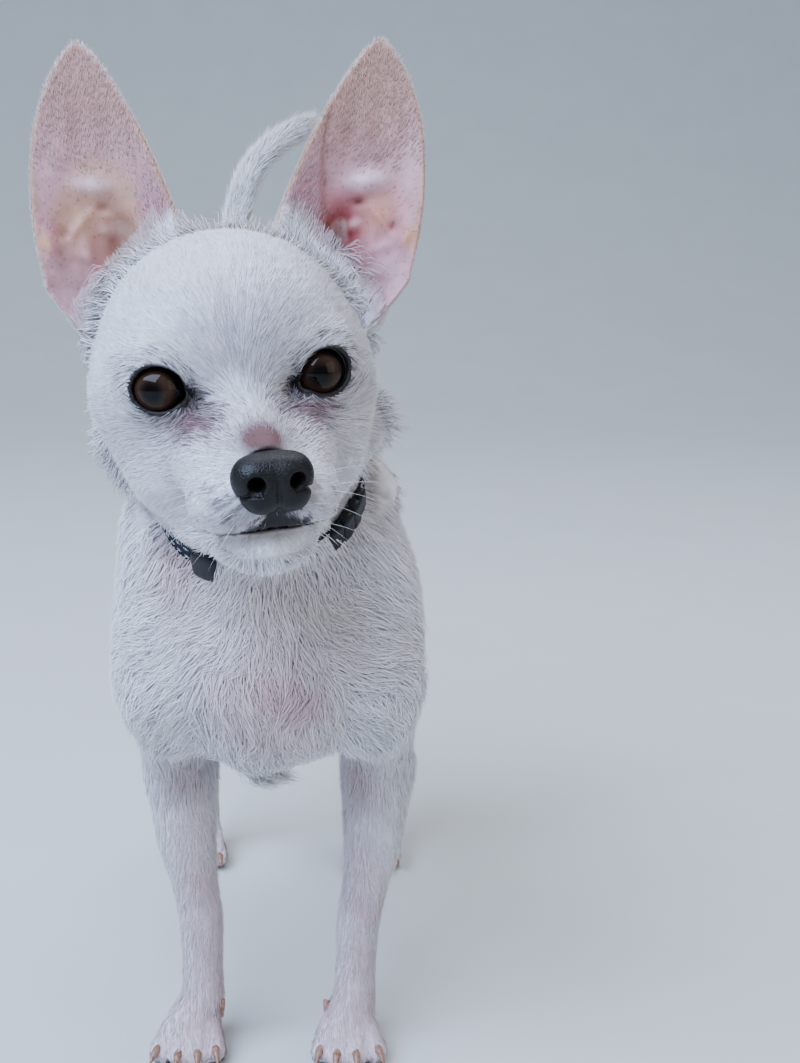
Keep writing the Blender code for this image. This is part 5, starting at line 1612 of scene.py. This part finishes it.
# Guard hair: each strand is a smooth, faintly glossy white rod, so a tuft is bright at the tip, pinker at the
# root where skin shows through and greyed there by painted shade between the tufts, and finely streaked along
# its length.
guard_hair, tree, shader = new_finish("white guard hair")
place = add_node(tree, "ShaderNodeTexCoord").outputs["Object"]
tint = add_node(tree, "ShaderNodeAttribute", {"attribute_name": "tint"}).outputs["Color"]
streaks = add_node(tree, "ShaderNodeTexNoise", Vector=place, Scale=per_mm(0.5), Detail=2.0)
shade = add_node(tree, "ShaderNodeMapRange", Value=streaks.outputs["Fac"], From_Min=0.3, From_Max=0.7,
                 To_Min=0.86, To_Max=1.04)
mixed = add_node(tree, "ShaderNodeVectorMath", {"operation": "SCALE"}, input0=tint, Scale=shade.outputs[0])
give(tree, shader, Base_Color=mixed.outputs[0], Roughness=0.48, Specular_IOR_Level=0.35, Sheen_Weight=0.15)

triangles = np.vstack([skin_quads[:, [0, 1, 2]], skin_quads[:, [0, 2, 3]]])
corners = skin_points[triangles]
middles = corners.mean(axis=1)
areas = np.linalg.norm(np.cross(corners[:, 1] - corners[:, 0], corners[:, 2] - corners[:, 0]), axis=1) / 2
regions = region_of(middles)
room = 1.0 - np.clip(bare(middles), 0.0, 1.0)


def roots_on(chosen, density, rng):
    """Roots and normals drawn over the chosen triangles, thinned where the skin is bare."""
    weights = areas[chosen] * room[chosen] * density * TUFT_SHARE
    count = int(weights.sum())
    picks = chosen[rng.choice(len(chosen), count, p=weights / weights.sum())]
    a, b = rng.random((2, count))
    flip = a + b > 1
    a[flip], b[flip] = 1 - a[flip], 1 - b[flip]
    shares = np.stack([1 - a - b, a, b], 1)[:, :, None]
    roots = (skin_points[triangles[picks]] * shares).sum(axis=1)
    normals = (skin_normals[triangles[picks]] * shares).sum(axis=1)
    return roots, normals / np.linalg.norm(normals, axis=1)[:, None]


def length_at(p, region, length):
    """The hair's length at each place, short towards the eyes, nose and toes."""
    q = in_head(p)
    scale = np.ones(len(p))
    if region == "face":
        scale = 0.62 + 0.75 * rise(q[:, 1], -36.0, 12.0)
        for side in (-1, 1):
            scale *= 1.0 - 0.45 * spot(q, (side * 25, 0, 0), (13, 14, 12))
        scale *= 1.0 - 0.6 * spot(q, (1, -37, -8), (11, 10, 8))
        scale *= 1.0 - 0.5 * black_lip(q, 2.0)
        scale *= 1.0 - 0.35 * spot(np.abs(q), (14, 36, 28), (10, 12, 9))
    if region in ("foreleg", "hindleg"):
        scale = 0.75 + 0.4 * rise(p[:, 2], 20.0, 90.0)
    if region == "crown":
        scale = 0.85 + 0.5 * rise(-q[:, 2], -12.0, 24.0)
    if region in ("face", "crown", "ruff", "chin", "throat"):
        away = p - COLLAR_MIDDLE
        turn = np.degrees(np.arctan2(away @ COLLAR_ALONG, away[:, 0]))
        shows = ((turn > -160) & (turn < -110)) | ((turn > -50) & (turn < -24))
        short = np.minimum(length * scale, np.maximum(over_collar(p) - 4.5, 1.2))
        return np.where(shows, short, length * scale)
    return length * scale


def over_strap(p):
    """Distance to the collar's strap, for hair that lies over it."""
    q = p - COLLAR_MIDDLE
    u, v = q[:, 0], q @ COLLAR_ALONG
    reach = np.interp(np.arctan2(v, u) % (2 * math.pi), turns, BAND_REACH, period=2 * math.pi)
    return np.maximum(np.hypot(u, v) - reach, np.abs(q @ COLLAR_NORMAL) - BAND_HALF_WIDTH - 0.7)


def settled(p, up, height, region):
    """Moves places along the skin's normals until they stand at the given height over it."""
    ground = body_skin(p)
    if region in ("throat", "chin"):
        ground = np.minimum(ground, over_strap(p) - 0.4)
    droop = -1.0 if region in ("ruff", "brisket", "tail") else -3.0
    return p + up * np.clip(height - ground, droop, 4.0)[:, None]


def grow(region, seed):
    """One part of the coat as a mesh of thin, closed, pointed tufts."""
    density, length, width, lift, spread, clump, pull, bent = GROWTH[region]
    rng = np.random.default_rng(seed)
    roots, up = roots_on(np.flatnonzero(regions == region), density, rng)
    count = len(roots)
    lie = lie_at(roots, region)
    waver = 24.0 if region == "chest" else 14.0
    turn = np.radians(rng.normal(0, spread, count) + waver * ripple(roots, 16.0, seed + 50))
    along = lie - up * np.sum(lie * up, axis=1)[:, None]
    along /= np.maximum(np.linalg.norm(along, axis=1), 1e-6)[:, None]
    across = np.cross(along, up)
    along = along * np.cos(turn)[:, None] + across * np.sin(turn)[:, None]
    lifts = np.radians(np.clip(rng.normal(lift, lift * 0.35, count), 2.0, 50.0))
    long = length_at(roots, region, length) * rng.uniform(0.7, 1.25, count)
    wide = width * rng.uniform(0.75, 1.25, count)

    across = np.cross(along, up)

    def ahead(angles, aside):
        flat = along * np.cos(aside)[:, None] + across * np.sin(aside)[:, None]
        return flat * np.cos(angles)[:, None] + up * np.sin(angles)[:, None]

    if bent:
        sweep = np.radians(16.0) * ripple(roots, 11.0, seed + 80)
        middle = roots + ahead(lifts * 1.3, -sweep) * (long * 0.5)[:, None]
        tips = middle + ahead(lifts * 0.5, sweep) * (long * 0.5)[:, None]
    else:
        tips = roots + ahead(lifts, np.zeros(count)) * long[:, None]
    cell = np.floor((roots + rng.uniform(0, clump, 3)) / clump).astype(np.int64)
    key = (cell[:, 0] * 73856093) ^ (cell[:, 1] * 19349663) ^ (cell[:, 2] * 83492791)
    group = np.unique(key, return_inverse=True)[1]
    members = np.bincount(group)
    mean_tip = np.stack([np.bincount(group, tips[:, i]) / members for i in range(3)], 1)
    tips += (mean_tip[group] - tips) * pull
    if bent:
        middle = settled(middle, up, long * 0.5 * np.sin(lifts * 1.3) + 0.15, region)
    tips = settled(tips, up, long * np.sin(lifts) * (0.8 if bent else 1.0) + 0.15, region)

    def ring(place, share):
        half = (wide * share / 2)[:, None]
        return [place - across * half, place + across * half, place + up * half * 0.7]

    spine = ring(roots - up * 0.12, 1.0)
    faces, patch, fade = PLAIN_FACES, PLAIN_PATCH, np.array([0.0, 0.0, 0.15, 1.0])
    if bent:
        spine += ring(middle, 0.8)
        faces, patch, fade = BENT_FACES, BENT_PATCH, np.array([0.0, 0.0, 0.15, 0.6, 0.6, 0.7, 1.0])
    points = np.stack(spine + [tips], 1)
    points[:, :, 2] = np.maximum(points[:, :, 2], FLOOR_GAP)
    root_tint, tip_tint = coat_tint(roots + along * (long * 0.5)[:, None], region, rng)
    lock_shade = 1.0 + rng.normal(0.0, 0.05, len(members))[group][:, None]
    root_tint, tip_tint = root_tint * lock_shade, np.minimum(tip_tint * lock_shade, 1.0)
    colours = root_tint[:, None] + (tip_tint - root_tint)[:, None] * fade[None, :, None]
    corner_map = unwrapped(roots, region)[:, None] + (patch[None] - 0.5) * PATCH
    leaning = np.array([-0.8, 0.8, 0.0, 0.0] if not bent else [-0.8, 0.8, 0.0, -0.8, 0.8, 0.0, 0.0])
    facing = up[:, None] + across[:, None] * leaning[None, :, None]
    facing /= np.linalg.norm(facing, axis=2)[:, :, None]

    for word, mine in (("right", roots[:, 0] < COAT_PARTING), ("left", roots[:, 0] >= COAT_PARTING)):
        each, number = points.shape[1], int(mine.sum())
        all_faces = (faces[None] + (np.arange(number) * each)[:, None, None]).reshape(-1, 3)
        name = "coat_%s_%s" % (region, word)
        mesh = mesh_from(name, in_frame(points[mine].reshape(-1, 3)), all_faces)
        paint_points(mesh, colours[mine].reshape(-1, 3))
        if region not in ("ears", "brisket", "ruff", "tail"):
            mesh.normals_split_custom_set_from_vertices(facing[mine].reshape(-1, 3))
        layer = mesh.uv_layers.new(name="OFBake")
        places = corner_map[mine].reshape(-1, 2)[all_faces.ravel()]
        layer.data.foreach_set("uv", places.astype(np.float32).ravel())
        item = add_piece(name, mesh, guard_hair)
        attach(item, "root")


for seed, region in enumerate(GROWTH):
    grow(region, 100 + seed)

# Whiskers. Stiff pale bristles, far longer than the coat, grow from the pads beside the nose and over the
# eyes, each tapering to a point.
WHISKER_RADIUS = 0.09
WHISKER_SIDES = 5


def whisker_roots():
    """Root, direction and length of each whisker in the head's frame."""
    rng = np.random.default_rng(7)
    found = []
    for side in (-1, 1):
        for row in range(3):
            for step in range(3):
                root = np.array([side * (11.0 + 3.4 * step), -42.0 + 6.5 * step, -26.0 - 3.4 * row])
                way = np.array([side * (0.9 + 0.1 * step), -0.25 + 0.3 * step, 0.1 - 0.28 * row])
                found.append((root, way + rng.normal(0, 0.16, 3), 12.0 + 4.4 * step + rng.uniform(-3, 4)))
        for step in range(3):
            root = np.array([side * (17.0 + 3.0 * step), -8.0, 13.0])
            found.append((root, np.array([side * 0.2 * step, -0.45, 1.0]) + rng.normal(0, 0.1, 3), 14.0))
    return found


forms = []
for root, way, length in whisker_roots():
    place = np.array(skin_bvh.find_nearest(Vector(from_head(root)))[0])
    way = HEAD_TURN @ (way / np.linalg.norm(way))
    shares = np.linspace(0.0, 1.0, 10)
    line = place - way + way * (length * shares)[:, None]
    line[:, 2] -= 0.22 * length * shares**2
    line[:, 1] += 0.18 * length * shares**2
    points, quads = tube_points(line, WHISKER_RADIUS * (1.0 - 0.92 * shares), WHISKER_SIDES, False)
    ends = [tuple(reversed(range(WHISKER_SIDES))), tuple(range(len(points) - WHISKER_SIDES, len(points)))]
    forms.append((points, quads + ends))

# Whisker bristle: a stiff pale keratin rod, glossier than the coat.
bristle, tree, shader = new_finish("whisker bristle")
place = add_node(tree, "ShaderNodeTexCoord").outputs["Object"]
tone = add_node(tree, "ShaderNodeTexNoise", Vector=place, Scale=per_mm(6.0), Detail=1.0)
ramp = add_node(tree, "ShaderNodeValToRGB", Fac=tone.outputs["Fac"],
                tones=[(0.0, "#CFC8C2"), (1.0, "#F4F1EE")])
give(tree, shader, Base_Color=ramp.outputs["Color"], Roughness=0.3)
whiskers = add_piece("whiskers", mesh_of("whiskers", forms), bristle)
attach(whiskers, "root")

# Studio. A plain pale floor that sweeps up behind without an edge in view, a large cool softbox at the
# camera's left, a dimmer, warmer one at its right, a third over the dog's back, and the camera where the
# photograph was taken from.
CAMERA_PLACE = in_frame(np.array([47.0, -626.0, 345.0]))
CAMERA_DOWN = math.radians(13.6)
PICTURE_HEIGHT = 1063
FOCAL_PIXELS = 1580.0
SENSOR = 36.0

FLOOR_REACH = 6.0
SWEEP_START = 1.3
SWEEP_RADIUS = 1.4
sweep_line = [(-FLOOR_REACH, 0.0), (-1.0, 0.0)]
for angle in np.radians(np.arange(0, 91, 5)):
    sweep_line.append((SWEEP_START + SWEEP_RADIUS * math.sin(angle), SWEEP_RADIUS * (1.0 - math.cos(angle))))
sweep_line.append((SWEEP_START + SWEEP_RADIUS, 4.5))
floor_mesh = bpy.data.meshes.new("floor")
floor_mesh.from_pydata([(x, y, z) for y, z in sweep_line for x in (-FLOOR_REACH, FLOOR_REACH)], [],
                       [(2 * i, 2 * i + 1, 2 * i + 3, 2 * i + 2) for i in range(len(sweep_line) - 1)])
floor_mesh.shade_smooth()

# Pale matt floor paint: faintly mottled and without any gloss.
floor_paint, tree, shader = new_finish("pale matt floor")
place = add_node(tree, "ShaderNodeTexCoord").outputs["Object"]
mottle = add_node(tree, "ShaderNodeTexNoise", Vector=place, Scale=per_mm(60.0), Detail=3.0)
ramp = add_node(tree, "ShaderNodeValToRGB", Fac=mottle.outputs["Fac"],
                tones=[(0.0, "#C4C6C4"), (1.0, "#CCCECC")])
give(tree, shader, Base_Color=ramp.outputs["Color"], Roughness=0.85)
add_piece("floor", floor_mesh, floor_paint)


def softbox(name, place, target, size, power, code):
    """A rectangular light at a place, aimed at a target."""
    light = bpy.data.lights.new(name, "AREA")
    light.shape = "RECTANGLE"
    light.size, light.size_y = size
    light.energy = power
    light.color = tuple(linear(code))
    item = bpy.data.objects.new(name, light)
    item.location = place
    item.rotation_euler = (Vector(target) - Vector(place)).to_track_quat("-Z", "Y").to_euler()
    bpy.context.scene.collection.objects.link(item)


softbox("key", (-0.75, -0.85, 1.55), (0, -0.05, 0.25), (1.8, 1.3), 98.0, "#C6DBFF")
softbox("fill", (1.2, -0.7, 0.6), (0, 0, 0.2), (0.9, 0.9), 4.0, "#FFE9CE")
softbox("top", (0.25, 0.6, 1.5), (0, 0, 0.2), (1.2, 0.8), 16.0, "#EEF3FF")

world = bpy.data.worlds.new("studio")
world.use_nodes = True
world.node_tree.nodes["Background"].inputs["Color"].default_value = (*linear("#DBE4F0"), 1.0)
world.node_tree.nodes["Background"].inputs["Strength"].default_value = 0.42
bpy.context.scene.world = world

camera_data = bpy.data.cameras.new("camera")
camera_data.sensor_width = SENSOR
camera_data.lens = SENSOR * FOCAL_PIXELS / PICTURE_HEIGHT
camera = bpy.data.objects.new("camera", camera_data)
camera.location = CAMERA_PLACE
camera.rotation_euler = (math.radians(90.0) - CAMERA_DOWN, 0.0, 0.0)
bpy.context.scene.collection.objects.link(camera)
bpy.context.scene.camera = camera
